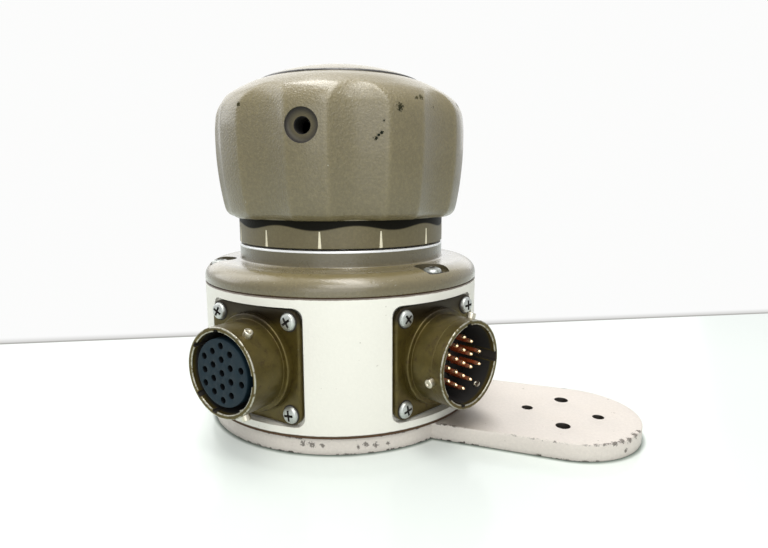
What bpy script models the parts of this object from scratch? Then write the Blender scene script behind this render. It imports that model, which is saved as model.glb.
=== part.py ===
"""Focus demand: a lobed hand knob on a round case, with two bayonet connectors and a mounting arm.

Metres, +Z up. The origin is the centre of the base plate's underside, on the knob's axis, and the arm
points along +X. Angles are in degrees, counted anticlockwise from +X as seen from above.
"""
import math

import bmesh
import bpy
from mathutils import Matrix, Vector

# Clearances
GAP = 0.0003
TURNING_GAP = 0.0005
OVERRUN = 0.002
MERGE = 0.000001
WELD = 0.000004
FLAT_ANGLE = math.radians(0.5)

# Steps of round shapes
BIG_STEPS = 48
CAVITY_STEPS = 40
CAP_STEPS = 36
MEDIUM_STEPS = 24
SMALL_STEPS = 16
HOLE_STEPS = 12
SCREW_STEPS = 8
TINY_STEPS = 6
EDGE_STEPS = 5
CORNER_STEPS = 4

# Main shaft
SHAFT_RADIUS = 0.0040
SHAFT_SHOULDER = 0.0010
SHAFT_END_LENGTH = 0.0024
SHAFT_NUT_WALL = 0.0023
SHAFT_NUT_THICKNESS = 0.0017
SHAFT_END_RADIUS = SHAFT_RADIUS - SHAFT_SHOULDER
SHAFT_NUT_RADIUS = SHAFT_END_RADIUS + GAP + SHAFT_NUT_WALL

# Ball bearings, built up from the shaft outward
BEARING_WIDTH = 0.0070
INNER_RACE_WALL = 0.0016
RACE_WALL = 0.0019
BALL_RADIUS = 0.0013
BALL_COUNT = 7
BALL_SIDES = 5
BALL_STEPS = 6
CAGE_RADIUS = 0.0005
INNER_RACE_RADIUS = SHAFT_RADIUS + GAP + INNER_RACE_WALL
BALL_CIRCLE_RADIUS = INNER_RACE_RADIUS + GAP + BALL_RADIUS
OUTER_RACE_BORE_RADIUS = BALL_CIRCLE_RADIUS + BALL_RADIUS + GAP
BEARING_RADIUS = OUTER_RACE_BORE_RADIUS + RACE_WALL

# Bearing housing
HOUSING_WALL = 0.0022
HOUSING_SHOULDER = 0.0018
HOUSING_LENGTH = 0.0291
HOUSING_FLANGE_WIDTH = 0.0060
HOUSING_FLANGE_THICKNESS = 0.0032
HOUSING_RISE = 0.0017
HOUSING_LIP = 0.0004
HOUSING_SCREW_AZIMUTHS = (50.0, 180.0, 296.7)
HOUSING_RADIUS = BEARING_RADIUS + GAP + HOUSING_WALL
HOUSING_FLANGE_RADIUS = HOUSING_RADIUS + HOUSING_FLANGE_WIDTH
HOUSING_SCREW_CIRCLE_RADIUS = HOUSING_RADIUS + HOUSING_FLANGE_WIDTH / 2

# Friction drag and end stops, round the housing's upper end
DRAG_WIDTH = 0.0051
DRAG_DISC_THICKNESS = 0.0012
SPRING_HUB_GAP = 0.0031
SPRING_WIRE_RADIUS = 0.0007
SPRING_TURNS = 4
SPRING_STEPS = 10
STOP_DRAG_GAP = 0.0013
STOP_PIN_RADIUS = 0.0020
STOP_PIN_RISE = 0.0060
STOP_PIN_SEAT_DEPTH = 0.0026
STOP_AZIMUTH = -63.3
STOP_TRAVEL = 150.0
STOP_MARGIN = 1.0
STOP_SECTOR_STEPS = 8
STOP_OVERLAP = 0.0035
DRAG_PAD_BORE_RADIUS = HOUSING_RADIUS + GAP * 2
DRAG_OUTER_RADIUS = DRAG_PAD_BORE_RADIUS + DRAG_WIDTH
STOP_CIRCLE_RADIUS = DRAG_OUTER_RADIUS + STOP_DRAG_GAP + STOP_PIN_RADIUS

# Potentiometer, beside the housing
POT_AZIMUTH = 116.7
POT_SPINDLE_RADIUS = 0.0024
POT_SPINDLE_DEPTH = 0.0050
POT_BUSH_WALL = 0.0007
POT_SHOULDER = 0.0030
POT_HOUSING_GAP = 0.0006
POT_ROOF_GAP = 0.0030
POT_TERMINAL_LENGTH = 0.0040
POT_TERMINAL_WIDTH = 0.0060
POT_TERMINAL_THICKNESS = 0.0020
POT_TERMINAL_Z = 0.0040
POT_BUSH_GAP = 0.0005
POT_NUT_WALL = 0.0018
POT_NUT_THICKNESS = 0.0015
BRACKET_THICKNESS = 0.0015
BRACKET_RING_WIDTH = 0.0024
BRACKET_NUT_MARGIN = 0.0010
POT_BUSH_RADIUS = POT_SPINDLE_RADIUS + GAP + POT_BUSH_WALL
POT_RADIUS = POT_BUSH_RADIUS + POT_SHOULDER
POT_NUT_RADIUS = POT_BUSH_RADIUS + POT_NUT_WALL
BRACKET_END_RADIUS = POT_NUT_RADIUS + BRACKET_NUT_MARGIN

# Gears, whose module follows from the distance between their shafts; tooth sizes are shares of the module
DRIVE_TEETH = 21
POT_TEETH = 20
GEAR_THICKNESS = 0.0035
ADDENDUM_SHARE = 0.9
DEDENDUM_SHARE = 1.25
TOOTH_ROOT_SHARE = 1.8
TOOTH_TIP_SHARE = 0.6
GEAR_BOSS_WALL = 0.0015
GEAR_BOSS_GAP = 0.0004
GEAR_CENTRES = HOUSING_RADIUS + POT_HOUSING_GAP + POT_RADIUS
GEAR_MODULE = 2 * GEAR_CENTRES / (DRIVE_TEETH + POT_TEETH)
GEAR_BOSS_RADIUS = SHAFT_RADIUS + GAP + GEAR_BOSS_WALL
GEAR_REACH = GEAR_CENTRES + GEAR_MODULE * (POT_TEETH / 2 + ADDENDUM_SHARE)

# Radii of the index ring's collar and of the case: each leaves room for what it holds
COLLAR_STOP_GAP = 0.0015
COLLAR_WALL = 0.0035
COVER_LEDGE = 0.0099
CASE_WALL = 0.0069
CASE_GEAR_GAP = 0.0011
COLLAR_INNER_RADIUS = STOP_CIRCLE_RADIUS + STOP_PIN_RADIUS + COLLAR_STOP_GAP
COLLAR_RADIUS = COLLAR_INNER_RADIUS + COLLAR_WALL
CASE_RADIUS = max(COLLAR_RADIUS + COVER_LEDGE, GEAR_REACH + CASE_GEAR_GAP + CASE_WALL)
CASE_BORE_RADIUS = CASE_RADIUS - CASE_WALL

# Base plate with its arm
PLATE_SETBACK = 0.0009
PLATE_THICKNESS = 0.0044
ARM_HALF_WIDTH = 0.0188
ARM_REACH = 0.0273
ARM_HOLES_SETBACK = 0.0010
ARM_BIG_HOLE_RADIUS = 0.00185
ARM_BIG_HOLE_OFFSET = 0.0089
ARM_BIG_HOLE_SKEW = 0.0007
ARM_SMALL_HOLE_RADIUS = 0.0015
ARM_SMALL_HOLE_OFFSET = 0.00915
PLATE_RADIUS = CASE_RADIUS - PLATE_SETBACK
ARM_TIP_CENTRE_X = PLATE_RADIUS + ARM_REACH
ARM_HOLES_X = ARM_TIP_CENTRE_X - ARM_HOLES_SETBACK

# Circuit board
BOARD_MARGIN = 0.0025
BOARD_THICKNESS = 0.0016
STANDOFF_HEIGHT = 0.0022
STANDOFF_RADIUS = 0.0028
STANDOFF_INSET = 0.0045
STANDOFF_AZIMUTHS = (45.0, 190.0)
BOARD_CHIP_LENGTH = 0.0120
BOARD_CHIP_WIDTH = 0.0060
BOARD_CHIP_HEIGHT = 0.0018
BOARD_CHIP_INSET = 0.0120
BOARD_CHIP_OFFSET = 0.0070
BOARD_SHAFT_GAP = 0.0014
BOARD_RADIUS = CASE_BORE_RADIUS - BOARD_MARGIN
STANDOFF_CIRCLE_RADIUS = BOARD_RADIUS - STANDOFF_INSET

# Heights from the plate up to the cover: the board, the gears and the housing set the case's height
COVER_THICKNESS = 0.0053
COLLAR_HEIGHT = 0.0044
CASE_BOTTOM = PLATE_THICKNESS + GAP
BOARD_BOTTOM = CASE_BOTTOM + STANDOFF_HEIGHT + GAP
BOARD_TOP = BOARD_BOTTOM + BOARD_THICKNESS
SHAFT_BOTTOM = BOARD_TOP + BOARD_SHAFT_GAP
GEAR_BOTTOM = SHAFT_BOTTOM + SHAFT_END_LENGTH + GAP
GEAR_TOP = GEAR_BOTTOM + GEAR_THICKNESS
HOUSING_BOTTOM = GEAR_TOP + 2 * GEAR_BOSS_GAP
HOUSING_TOP = HOUSING_BOTTOM + HOUSING_LENGTH
COVER_TOP = HOUSING_TOP - HOUSING_RISE
COVER_BOTTOM = COVER_TOP - COVER_THICKNESS
CASE_TOP = COVER_BOTTOM - GAP
COLLAR_TOP = COVER_TOP + COLLAR_HEIGHT
HOUSING_FLANGE_TOP = COVER_BOTTOM - GAP
HOUSING_FLANGE_BOTTOM = HOUSING_FLANGE_TOP - HOUSING_FLANGE_THICKNESS
UPPER_BEARING_Z = HOUSING_TOP - HOUSING_LIP - BEARING_WIDTH / 2
LOWER_BEARING_Z = HOUSING_BOTTOM + HOUSING_LIP + BEARING_WIDTH / 2
POT_BUSH_BOTTOM = GEAR_TOP + POT_BUSH_GAP
POT_NUT_BOTTOM = POT_BUSH_BOTTOM + GAP
BRACKET_BOTTOM = POT_NUT_BOTTOM + POT_NUT_THICKNESS + GAP
BRACKET_TOP = BRACKET_BOTTOM + BRACKET_THICKNESS
POT_BOTTOM = BRACKET_TOP + GAP
POT_TOP = HOUSING_FLANGE_BOTTOM - POT_ROOF_GAP

# Rounded edge of the cover and chamfer of its collar
COVER_EDGE_ROUNDING = 0.0040
COLLAR_CHAMFER = 0.0004

# Index ring, which turns with the knob
RING_EXPOSED_HEIGHT = 0.0070
RING_WALL = 0.0030
RING_LIP_THICKNESS = 0.0020
RING_LIP_OVERLAP = 0.0062
TICK_COUNT = 12
TICK_PHASE = -45.75
TICK_WIDTH = 0.0006
TICK_HEIGHT = 0.0042
TICK_DEPTH = 0.00025
RING_BOTTOM = COLLAR_TOP + TURNING_GAP
RING_INNER_RADIUS = COLLAR_RADIUS - RING_WALL

# Knob shell
KNOB_OVERHANG = 0.0059
KNOB_HEIGHT = 0.0364
KNOB_STEP_HEIGHT = 0.0081
KNOB_STEP_WIDTH = 0.0015
KNOB_CAVITY_CORNER = 0.0035
KNOB_WEB_THICKNESS = 0.0030
KNOB_WEB_DROP = 0.0024
FLUTE_COUNT = 9
FLUTE_STEPS = 8
FLUTE_PHASE = -58.2
FLUTE_DEPTH = 0.0018
FLUTE_HALF_ANGLE = 11.9
FLUTE_SPOON_HEIGHT = 0.0068
FLUTE_TOP_DROP = 0.0034
KNOB_RADIUS = COLLAR_RADIUS + KNOB_OVERHANG
KNOB_BOTTOM = RING_BOTTOM + RING_EXPOSED_HEIGHT
KNOB_TOP = KNOB_BOTTOM + KNOB_HEIGHT
KNOB_STEP_Z = KNOB_BOTTOM + KNOB_STEP_HEIGHT
KNOB_WEB_TOP = KNOB_TOP - KNOB_WEB_DROP
KNOB_WEB_BOTTOM = KNOB_WEB_TOP - KNOB_WEB_THICKNESS
KNOB_MOUTH_RADIUS = COLLAR_RADIUS + GAP
KNOB_NECK_RADIUS = KNOB_MOUTH_RADIUS - KNOB_STEP_WIDTH
# Height up the knob as a share of its height, and radius as a share of the way out from the cap's seat
KNOB_PROFILE_SHARES = (
    (1.000, 0.019), (0.970, 0.260), (0.920, 0.536), (0.865, 0.774), (0.790, 0.930), (0.690, 0.988),
    (0.560, 1.000), (0.400, 0.983), (0.230, 0.930), (0.070, 0.846), (0.020, 0.768), (0.000, 0.669),
)

# Hole in the knob's side, which lets a key reach the set screw
SIDE_HOLE_AZIMUTH = -79.9
SIDE_HOLE_DROP = 0.0142
SIDE_HOLE_RADIUS = 0.0019
SIDE_RECESS_WIDTH = 0.0022
SIDE_RECESS_DEPTH = 0.0012
SIDE_HOLE_Z = KNOB_TOP - SIDE_HOLE_DROP
SIDE_RECESS_RADIUS = SIDE_HOLE_RADIUS + SIDE_RECESS_WIDTH

# Knob cap
CAP_RADIUS = 0.0229
CAP_DOME_HEIGHT = 0.0051
CAP_EDGE_RISE = 0.0010
CAP_EDGE_INSET = 0.0010
CAP_SPIGOT_LENGTH = 0.0012
CAP_DOME_STEPS = 4
CAP_SEAT_RADIUS = CAP_RADIUS + GAP

# Screws
SMALL_SCREW_RADIUS = 0.00125
SMALL_SCREW_HEAD_RADIUS = 0.0022
SMALL_SCREW_HEAD_HEIGHT = 0.0012
FLANGE_SCREW_RADIUS = 0.00125
FLANGE_SCREW_HEAD_RADIUS = 0.0022
FLANGE_SCREW_HEAD_HEIGHT = 0.0014
FLANGE_SCREW_LENGTH = 0.0060
COVER_SCREW_AZIMUTHS = (-24.5, -144.5, 95.5)
COVER_SCREW_WALL = 0.00115
COVER_RECESS_RADIUS = 0.0046
COVER_RECESS_DEPTH = 0.0017
COVER_SCREW_GRIP = 0.0020
COVER_SCREW_HEAD_RADIUS = 0.0024
COVER_SCREW_HEAD_HEIGHT = 0.0013
BASE_SCREW_AZIMUTHS = (30.0, 165.0, 296.7)
BASE_SCREW_WALL = 0.00075
BASE_SCREW_HEAD_RADIUS = 0.0027
BASE_SCREW_GRIP = 0.0056
BASE_SCREW_SINK = 0.0002
HOUSING_SCREW_GRIP = 0.0032
SCREW_CROWN_SHARE = 0.75
CROSS_SLOT_WIDTH = 0.0006
CROSS_SLOT_LENGTH = 0.0026
CROSS_SLOT_DEPTH = 0.0007
THREAD_RADIUS = SMALL_SCREW_RADIUS + GAP
COVER_SCREW_CIRCLE_RADIUS = CASE_BORE_RADIUS + COVER_SCREW_WALL + THREAD_RADIUS
COVER_SCREW_LENGTH = COVER_THICKNESS - COVER_RECESS_DEPTH + COVER_SCREW_GRIP
BASE_SCREW_CIRCLE_RADIUS = CASE_BORE_RADIUS + BASE_SCREW_WALL + THREAD_RADIUS
BASE_SCREW_LENGTH = PLATE_THICKNESS + BASE_SCREW_GRIP
HOUSING_SCREW_LENGTH = HOUSING_FLANGE_THICKNESS + HOUSING_SCREW_GRIP

# Hub, which joins shaft, index ring and knob
HUB_WALL = 0.0044
HUB_FLANGE_THICKNESS = 0.0030
HUB_HEAD_THICKNESS = 0.0030
HUB_HEAD_RIM = 0.0036
HUB_BORE_ROOF = 0.0045
HUB_SCREW_OFFSET = 0.0037
HUB_SCREW_AZIMUTHS = (30.0, 150.0, 270.0)
SET_SCREW_RADIUS = 0.0016
SET_SCREW_LENGTH = 0.0058
SET_SCREW_SOCKET_RADIUS = 0.0008
SET_SCREW_SOCKET_DEPTH = 0.0015
HUB_RADIUS = SHAFT_RADIUS + GAP + HUB_WALL
HUB_FLANGE_RADIUS = RING_INNER_RADIUS - GAP
HUB_SCREW_CIRCLE_RADIUS = HUB_RADIUS + HUB_SCREW_OFFSET
HUB_HEAD_RADIUS = HUB_SCREW_CIRCLE_RADIUS + HUB_HEAD_RIM
HUB_HEAD_TOP = KNOB_WEB_BOTTOM - GAP
HUB_HEAD_BOTTOM = HUB_HEAD_TOP - HUB_HEAD_THICKNESS
HUB_ROOF = HUB_HEAD_TOP - HUB_BORE_ROOF
RING_LIP_TOP = KNOB_STEP_Z - GAP
RING_LIP_BOTTOM = RING_LIP_TOP - RING_LIP_THICKNESS
RING_LIP_INNER_RADIUS = HUB_FLANGE_RADIUS - RING_LIP_OVERLAP
HUB_FLANGE_TOP = RING_LIP_BOTTOM - GAP
HUB_FLANGE_BOTTOM = HUB_FLANGE_TOP - HUB_FLANGE_THICKNESS
KNOB_WEB_BORE_RADIUS = HUB_RADIUS + GAP
HUB_SCREW_SEAT = KNOB_WEB_TOP - SMALL_SCREW_HEAD_HEIGHT
HUB_SCREW_LENGTH = HUB_SCREW_SEAT - HUB_HEAD_BOTTOM
SPRING_RADIUS = HUB_RADIUS + SPRING_HUB_GAP + SPRING_WIRE_RADIUS

# Connectors: size 14 bayonet receptacles with square flanges
SOCKET_AZIMUTH = -100.9
PIN_AZIMUTH = -25.75
FLANGE_SIZE = 0.02858
FLANGE_THICKNESS = 0.0016
FLANGE_CORNER = 0.0030
FLANGE_SETBACK = 0.00182
FLANGE_SCREW_INSET = 0.002785
FLANGE_HOLE_RADIUS = 0.0016
SHELL_RADIUS = 0.01111
SHELL_WALL = 0.00121
SHELL_LENGTH = 0.01117
SHELL_TAIL_WALL = 0.0009
SHELL_TAIL_LENGTH = 0.0088
BOSS_WIDTH = 0.00129
BOSS_HEIGHT = 0.0018
KEYWAY_DEPTH = 0.0006
MAIN_KEYWAY_WIDTH = 0.0026
KEYWAY_WIDTH = 0.0014
KEYWAY_LENGTH = 0.0070
# Clockwise from the top, seen from outside
MAIN_KEYWAY_CLOCK = 90.0
KEYWAY_CLOCKS = (195.0, 230.0, 305.0, 355.0)
SOCKET_LUG_CLOCKS = (33.0, 157.0, 277.0)
PIN_LUG_CLOCKS = (18.0, 138.0, 258.0)
LUG_RADIUS = 0.0011
LUG_SIDES = 8
LUG_RISE = 0.0014
LUG_SETBACK = 0.0030
POCKET_MARGIN = 0.0005
CONNECTOR_Z = (CASE_BOTTOM + CASE_TOP) / 2
FLANGE_FRONT = CASE_RADIUS - FLANGE_SETBACK
FLANGE_BACK = FLANGE_FRONT - FLANGE_THICKNESS
FLAT_DISTANCE = FLANGE_BACK - GAP
FLANGE_SCREW_SPACING = FLANGE_SIZE - 2 * FLANGE_SCREW_INSET
SHELL_BORE_RADIUS = SHELL_RADIUS - SHELL_WALL
SHELL_TAIL_RADIUS = SHELL_BORE_RADIUS + SHELL_TAIL_WALL
SHELL_FRONT = FLANGE_FRONT + SHELL_LENGTH
SHELL_BACK = FLANGE_BACK - SHELL_TAIL_LENGTH
BOSS_RADIUS = SHELL_RADIUS + BOSS_WIDTH

# Contact inserts
CONTACT_COLUMN_COUNTS = (3, 4, 5, 4, 2)
CONTACT_SIDES = 6
CONTACT_MARGIN = 0.0017
CONTACT_SIDE_MARGIN = 0.0020
INSERT_STEP = 0.0013
INSERT_NOSE_SETBACK = 0.0004
SOCKET_HOLE_RADIUS = 0.0008
SOCKET_HOLE_DEPTH = 0.0025
PIN_CONTACT_RADIUS = 0.00052
PIN_TIP_SETBACK = 0.0018
PIN_FACE_DEPTH = 0.0088
INSERT_BODY_RADIUS = SHELL_BORE_RADIUS - GAP
INSERT_NOSE_RADIUS = INSERT_BODY_RADIUS - INSERT_STEP
CONTACT_PITCH = (INSERT_NOSE_RADIUS - CONTACT_MARGIN) / 2
CONTACT_COLUMN_PITCH = CONTACT_PITCH * math.cos(math.radians(30.0))
CONTACT_LAST_COLUMN_X = INSERT_NOSE_RADIUS - CONTACT_SIDE_MARGIN

# Wiring
WIRE_RADIUS = 0.0012
WIRE_BEND = 0.0032
WIRE_DROP_SHARE = 0.75
WIRE_STEPS = 4
WIRE_RUN_RADIUS = (HOUSING_RADIUS + SHELL_BACK) / 2

MODEL = bpy.data.collections.new("focus_demand")
CUTTERS = bpy.data.collections.new("cutters")

# Name of a finish: colour, roughness and metallic value
FINISHES = {
    "taupe_paint": ((0.28, 0.245, 0.18), 0.45, 0.0),
    "cream_paint": ((0.80, 0.77, 0.68), 0.40, 0.0),
    "white_paint": ((0.72, 0.68, 0.64), 0.45, 0.0),
    "olive_plating": ((0.20, 0.17, 0.08), 0.42, 0.8),
    "zinc": ((0.60, 0.60, 0.58), 0.32, 0.9),
    "steel": ((0.55, 0.55, 0.56), 0.28, 1.0),
    "aluminium": ((0.70, 0.70, 0.71), 0.35, 1.0),
    "brass": ((0.75, 0.56, 0.26), 0.30, 1.0),
    "grey_rubber": ((0.07, 0.10, 0.15), 0.60, 0.0),
    "black_plastic": ((0.02, 0.02, 0.02), 0.50, 0.0),
    "felt": ((0.05, 0.05, 0.05), 0.95, 0.0),
    "board_green": ((0.03, 0.18, 0.08), 0.45, 0.0),
    "wire_sleeve": ((0.10, 0.10, 0.11), 0.55, 0.0),
}


def clear_scene():
    """Empty the file of objects, and link the model's and the cutters' collections."""
    for item in list(bpy.data.objects):
        bpy.data.objects.remove(item, do_unlink=True)
    bpy.context.scene.collection.children.link(MODEL)
    bpy.context.scene.collection.children.link(CUTTERS)


def finish_material(name):
    """The Principled material of a finish, made once."""
    material = bpy.data.materials.get(name)
    if material:
        return material
    colour, roughness, metallic = FINISHES[name]
    material = bpy.data.materials.new(name)
    material.use_nodes = True
    shader = material.node_tree.nodes["Principled BSDF"]
    shader.inputs["Base Color"].default_value = (*colour, 1.0)
    shader.inputs["Roughness"].default_value = roughness
    shader.inputs["Metallic"].default_value = metallic
    material.diffuse_color = (*colour, 1.0)
    return material


def add_object(name, mesh, finish=None, matrix=None):
    """A part if it has a finish, and otherwise a hidden cutter."""
    item = bpy.data.objects.new(name, mesh)
    if finish:
        MODEL.objects.link(item)
        if not mesh.materials:
            mesh.materials.append(finish_material(finish))
    else:
        CUTTERS.objects.link(item)
        item.hide_render = True
        item.display_type = "WIRE"
    if matrix is not None:
        item.matrix_world = matrix
    return item


def mesh_from(bm, name):
    """Write a bmesh to a new mesh with smooth round sides."""
    bmesh.ops.recalc_face_normals(bm, faces=bm.faces)
    mesh = bpy.data.meshes.new(name)
    bm.to_mesh(mesh)
    bm.free()
    mesh.shade_smooth()
    mesh.set_sharp_from_angle(angle=math.radians(35))
    return mesh


def turned(name, profile, finish=None, steps=MEDIUM_STEPS, matrix=None, closed=True):
    """A profile of (radius, height), listed down its outer side, turned about Z with a Screw modifier."""
    mesh = bpy.data.meshes.new(name)
    count = len(profile)
    edges = [(i, i + 1) for i in range(count - 1)]
    if closed:
        edges.append((count - 1, 0))
    mesh.from_pydata([(radius, 0, height) for radius, height in profile], edges, [])
    item = add_object(name, mesh, finish, matrix)
    screw = item.modifiers.new("turn", "SCREW")
    screw.axis = "Z"
    screw.angle = math.tau
    screw.steps = steps
    screw.render_steps = steps
    screw.use_merge_vertices = True
    screw.merge_threshold = MERGE
    screw.use_smooth_shade = True
    return item


def solid_turned(name, profile, finish=None, steps=MEDIUM_STEPS, matrix=None):
    """A turned solid whose open profile starts and ends on the axis."""
    return turned(name, profile, finish, steps, matrix, closed=False)


def tube(name, outer, inner, bottom, top, finish=None, steps=MEDIUM_STEPS, matrix=None):
    """A plain ring or sleeve about Z."""
    profile = [(outer, top), (outer, bottom), (inner, bottom), (inner, top)]
    return turned(name, profile, finish, steps, matrix)


def rod(name, radius, bottom, top, finish=None, steps=SMALL_STEPS, matrix=None):
    """A plain cylinder about Z."""
    bm = bmesh.new()
    bmesh.ops.create_cone(
        bm, cap_ends=True, segments=steps, radius1=radius, radius2=radius, depth=top - bottom,
        matrix=Matrix.Translation((0, 0, (top + bottom) / 2)),
    )
    return add_object(name, mesh_from(bm, name), finish, matrix)


def box(name, low, high, finish=None, matrix=None):
    """A box between two corners."""
    bm = bmesh.new()
    bmesh.ops.create_cube(bm, size=1)
    low = Vector(low)
    high = Vector(high)
    size = high - low
    bmesh.ops.scale(bm, vec=size, verts=bm.verts)
    bmesh.ops.translate(bm, vec=(low + high) / 2, verts=bm.verts)
    return add_object(name, mesh_from(bm, name), finish, matrix)


def prism(name, outline, bottom, top, finish=None, matrix=None):
    """A flat outline of (x, y) points raised from bottom to top: a filled curve made a mesh."""
    curve = bpy.data.curves.new(name, "CURVE")
    curve.dimensions = "2D"
    curve.fill_mode = "BOTH"
    curve.extrude = (top - bottom) / 2
    spline = curve.splines.new("POLY")
    spline.points.add(len(outline) - 1)
    for point, (x, y) in zip(spline.points, outline):
        point.co = (x, y, 0, 1)
    spline.use_cyclic_u = True
    item = mesh_of_curve(name, curve, finish, matrix)
    item.data.transform(Matrix.Translation((0, 0, (top + bottom) / 2)))
    return item


def mesh_of_curve(name, curve, finish=None, matrix=None):
    """The welded mesh of a curve, as an object."""
    holder = bpy.data.objects.new(name + "_curve", curve)
    bpy.context.scene.collection.objects.link(holder)
    bpy.context.view_layer.update()
    evaluated = holder.evaluated_get(bpy.context.evaluated_depsgraph_get())
    mesh = bpy.data.meshes.new_from_object(evaluated)
    bpy.data.objects.remove(holder, do_unlink=True)
    bm = bmesh.new()
    bm.from_mesh(mesh)
    bpy.data.meshes.remove(mesh)
    bmesh.ops.remove_doubles(bm, verts=bm.verts, dist=MERGE)
    bmesh.ops.dissolve_limit(bm, angle_limit=FLAT_ANGLE, verts=bm.verts, edges=bm.edges)
    return add_object(name, mesh_from(bm, name), finish, matrix)


def wire(name, points, radius, finish, matrix=None, sides=2):
    """A round wire through the given points, with filled ends."""
    curve = bpy.data.curves.new(name, "CURVE")
    curve.dimensions = "3D"
    curve.bevel_depth = radius
    curve.bevel_resolution = sides
    curve.use_fill_caps = True
    spline = curve.splines.new("POLY")
    spline.points.add(len(points) - 1)
    for point, place in zip(spline.points, points):
        point.co = (*place, 1)
    return mesh_of_curve(name, curve, finish, matrix)


def smooth_path(corners, steps):
    """Points on a smooth curve through the given corners."""
    path = []
    ends = [corners[0], *corners, corners[-1]]
    for i in range(1, len(ends) - 2):
        before, start, end, after = (Vector(p) for p in ends[i - 1:i + 3])
        for k in range(steps):
            t = k / steps
            slope_in = (end - before) / 2
            slope_out = (after - start) / 2
            path.append(
                start * (2 * t**3 - 3 * t**2 + 1)
                + slope_in * (t**3 - 2 * t**2 + t)
                + end * (3 * t**2 - 2 * t**3)
                + slope_out * (t**3 - t**2)
            )
    path.append(Vector(corners[-1]))
    return path


def evaluated_mesh(item):
    """A new mesh with the object's modifiers and placing applied; the object is removed."""
    bpy.context.view_layer.update()
    evaluated = item.evaluated_get(bpy.context.evaluated_depsgraph_get())
    mesh = bpy.data.meshes.new_from_object(evaluated)
    mesh.transform(item.matrix_world)
    bpy.data.objects.remove(item, do_unlink=True)
    return mesh


def boolean(target, other, operation):
    """One exact Boolean modifier, with a weld kept behind it."""
    weld = target.modifiers.get("weld")
    if weld:
        target.modifiers.remove(weld)
    modifier = target.modifiers.new(operation.lower(), "BOOLEAN")
    modifier.operation = operation
    modifier.solver = "EXACT"
    modifier.object = other
    weld = target.modifiers.new("weld", "WELD")
    weld.merge_threshold = WELD


def cut(target, *cutters):
    """Take the cutters out of the target."""
    for cutter in cutters:
        boolean(target, cutter, "DIFFERENCE")


def join(target, *pieces):
    """Fuse hidden pieces to the target."""
    for piece in pieces:
        boolean(target, piece, "UNION")


def polar(radius, azimuth):
    """The (x, y) of a point at a radius and an azimuth in degrees."""
    angle = math.radians(azimuth)
    return radius * math.cos(angle), radius * math.sin(angle)


def arc(centre, radius, start, end, steps):
    """Points along an arc, both ends included."""
    points = []
    for i in range(steps + 1):
        x, y = polar(radius, start + (end - start) * i / steps)
        points.append((centre[0] + x, centre[1] + y))
    return points


def spun(azimuth):
    """A turn about Z by an azimuth in degrees."""
    return Matrix.Rotation(math.radians(azimuth), 4, "Z")


def upright_at(radius, azimuth, height=0.0):
    """A frame with Z up at a polar place."""
    return spun(azimuth) @ Matrix.Translation((radius, 0, height))


def outward_at(azimuth, height):
    """A frame on the axis whose Z points outward, whose Y points up and whose X points right from outside."""
    axes = Matrix(((0, 0, 1, 0), (1, 0, 0, 0), (0, 1, 0, 0), (0, 0, 0, 1)))
    return Matrix.Translation((0, 0, height)) @ spun(azimuth) @ axes


def clock_place(radius, clock):
    """The (x, y) of a clock angle in degrees from the top, clockwise, in an outward frame."""
    return polar(radius, 90.0 - clock)


def screw_mesh(name, shank, length, head, head_height, sunk=0.0, slotted=True):
    """A screw along Z, its seat at zero: the head above, the shank below, and a cross slot if it shows."""
    if sunk:
        profile = [(0, 0), (head, 0), (head, -sunk), (shank, -sunk - head + shank)]
        top = 0
    else:
        top = head_height
        profile = [(0, top), (head * SCREW_CROWN_SHARE, top), (head, 0), (shank, 0)]
    profile += [(shank, -length), (0, -length)]
    body = solid_turned(name, profile, steps=SCREW_STEPS)
    half = CROSS_SLOT_LENGTH / 2
    thin = CROSS_SLOT_WIDTH / 2
    floor = top - CROSS_SLOT_DEPTH
    slot = box(name + "_slot", (-half, -thin, floor), (half, thin, top + OVERRUN))
    cross = box(name + "_cross", (-thin, -half, floor), (thin, half, top + OVERRUN))
    if slotted:
        cut(body, slot, cross)
    mesh = evaluated_mesh(body)
    mesh.name = name
    for item in (slot, cross):
        bpy.data.objects.remove(item, do_unlink=True)
    return mesh


def hexagon(radius):
    """The outline of a hexagon nut."""
    return [polar(radius, 60.0 * i) for i in range(6)]


def make_base_plate():
    """The round foot and its arm in one plate, with the arm's four holes and three countersinks."""
    corner = math.degrees(math.asin(ARM_HALF_WIDTH / PLATE_RADIUS))
    outline = arc((0, 0), PLATE_RADIUS, corner, 360.0 - corner, BIG_STEPS)
    outline += arc((ARM_TIP_CENTRE_X, 0), ARM_HALF_WIDTH, -90.0, 90.0, MEDIUM_STEPS)
    plate = prism("base_plate", outline, 0, PLATE_THICKNESS, "white_paint")
    high = PLATE_THICKNESS + OVERRUN
    for side in (-1, 1):
        big = rod("arm_big_hole", ARM_BIG_HOLE_RADIUS, -OVERRUN, high, steps=HOLE_STEPS)
        big.location = (ARM_HOLES_X - side * ARM_BIG_HOLE_SKEW, side * ARM_BIG_HOLE_OFFSET, 0)
        small = rod("arm_small_hole", ARM_SMALL_HOLE_RADIUS, -OVERRUN, high, steps=HOLE_STEPS)
        small.location = (ARM_HOLES_X + side * ARM_SMALL_HOLE_OFFSET, 0, 0)
        cut(plate, big, small)
    shank = FLANGE_SCREW_RADIUS + GAP
    head = BASE_SCREW_HEAD_RADIUS + GAP
    deep = BASE_SCREW_SINK + GAP
    profile = [
        (0, high), (shank, high), (shank, deep + head - shank), (head, deep), (head, -OVERRUN),
        (0, -OVERRUN),
    ]
    for azimuth in BASE_SCREW_AZIMUTHS:
        place = upright_at(BASE_SCREW_CIRCLE_RADIUS, azimuth)
        cut(plate, solid_turned("base_countersink", profile, steps=HOLE_STEPS, matrix=place))


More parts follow.
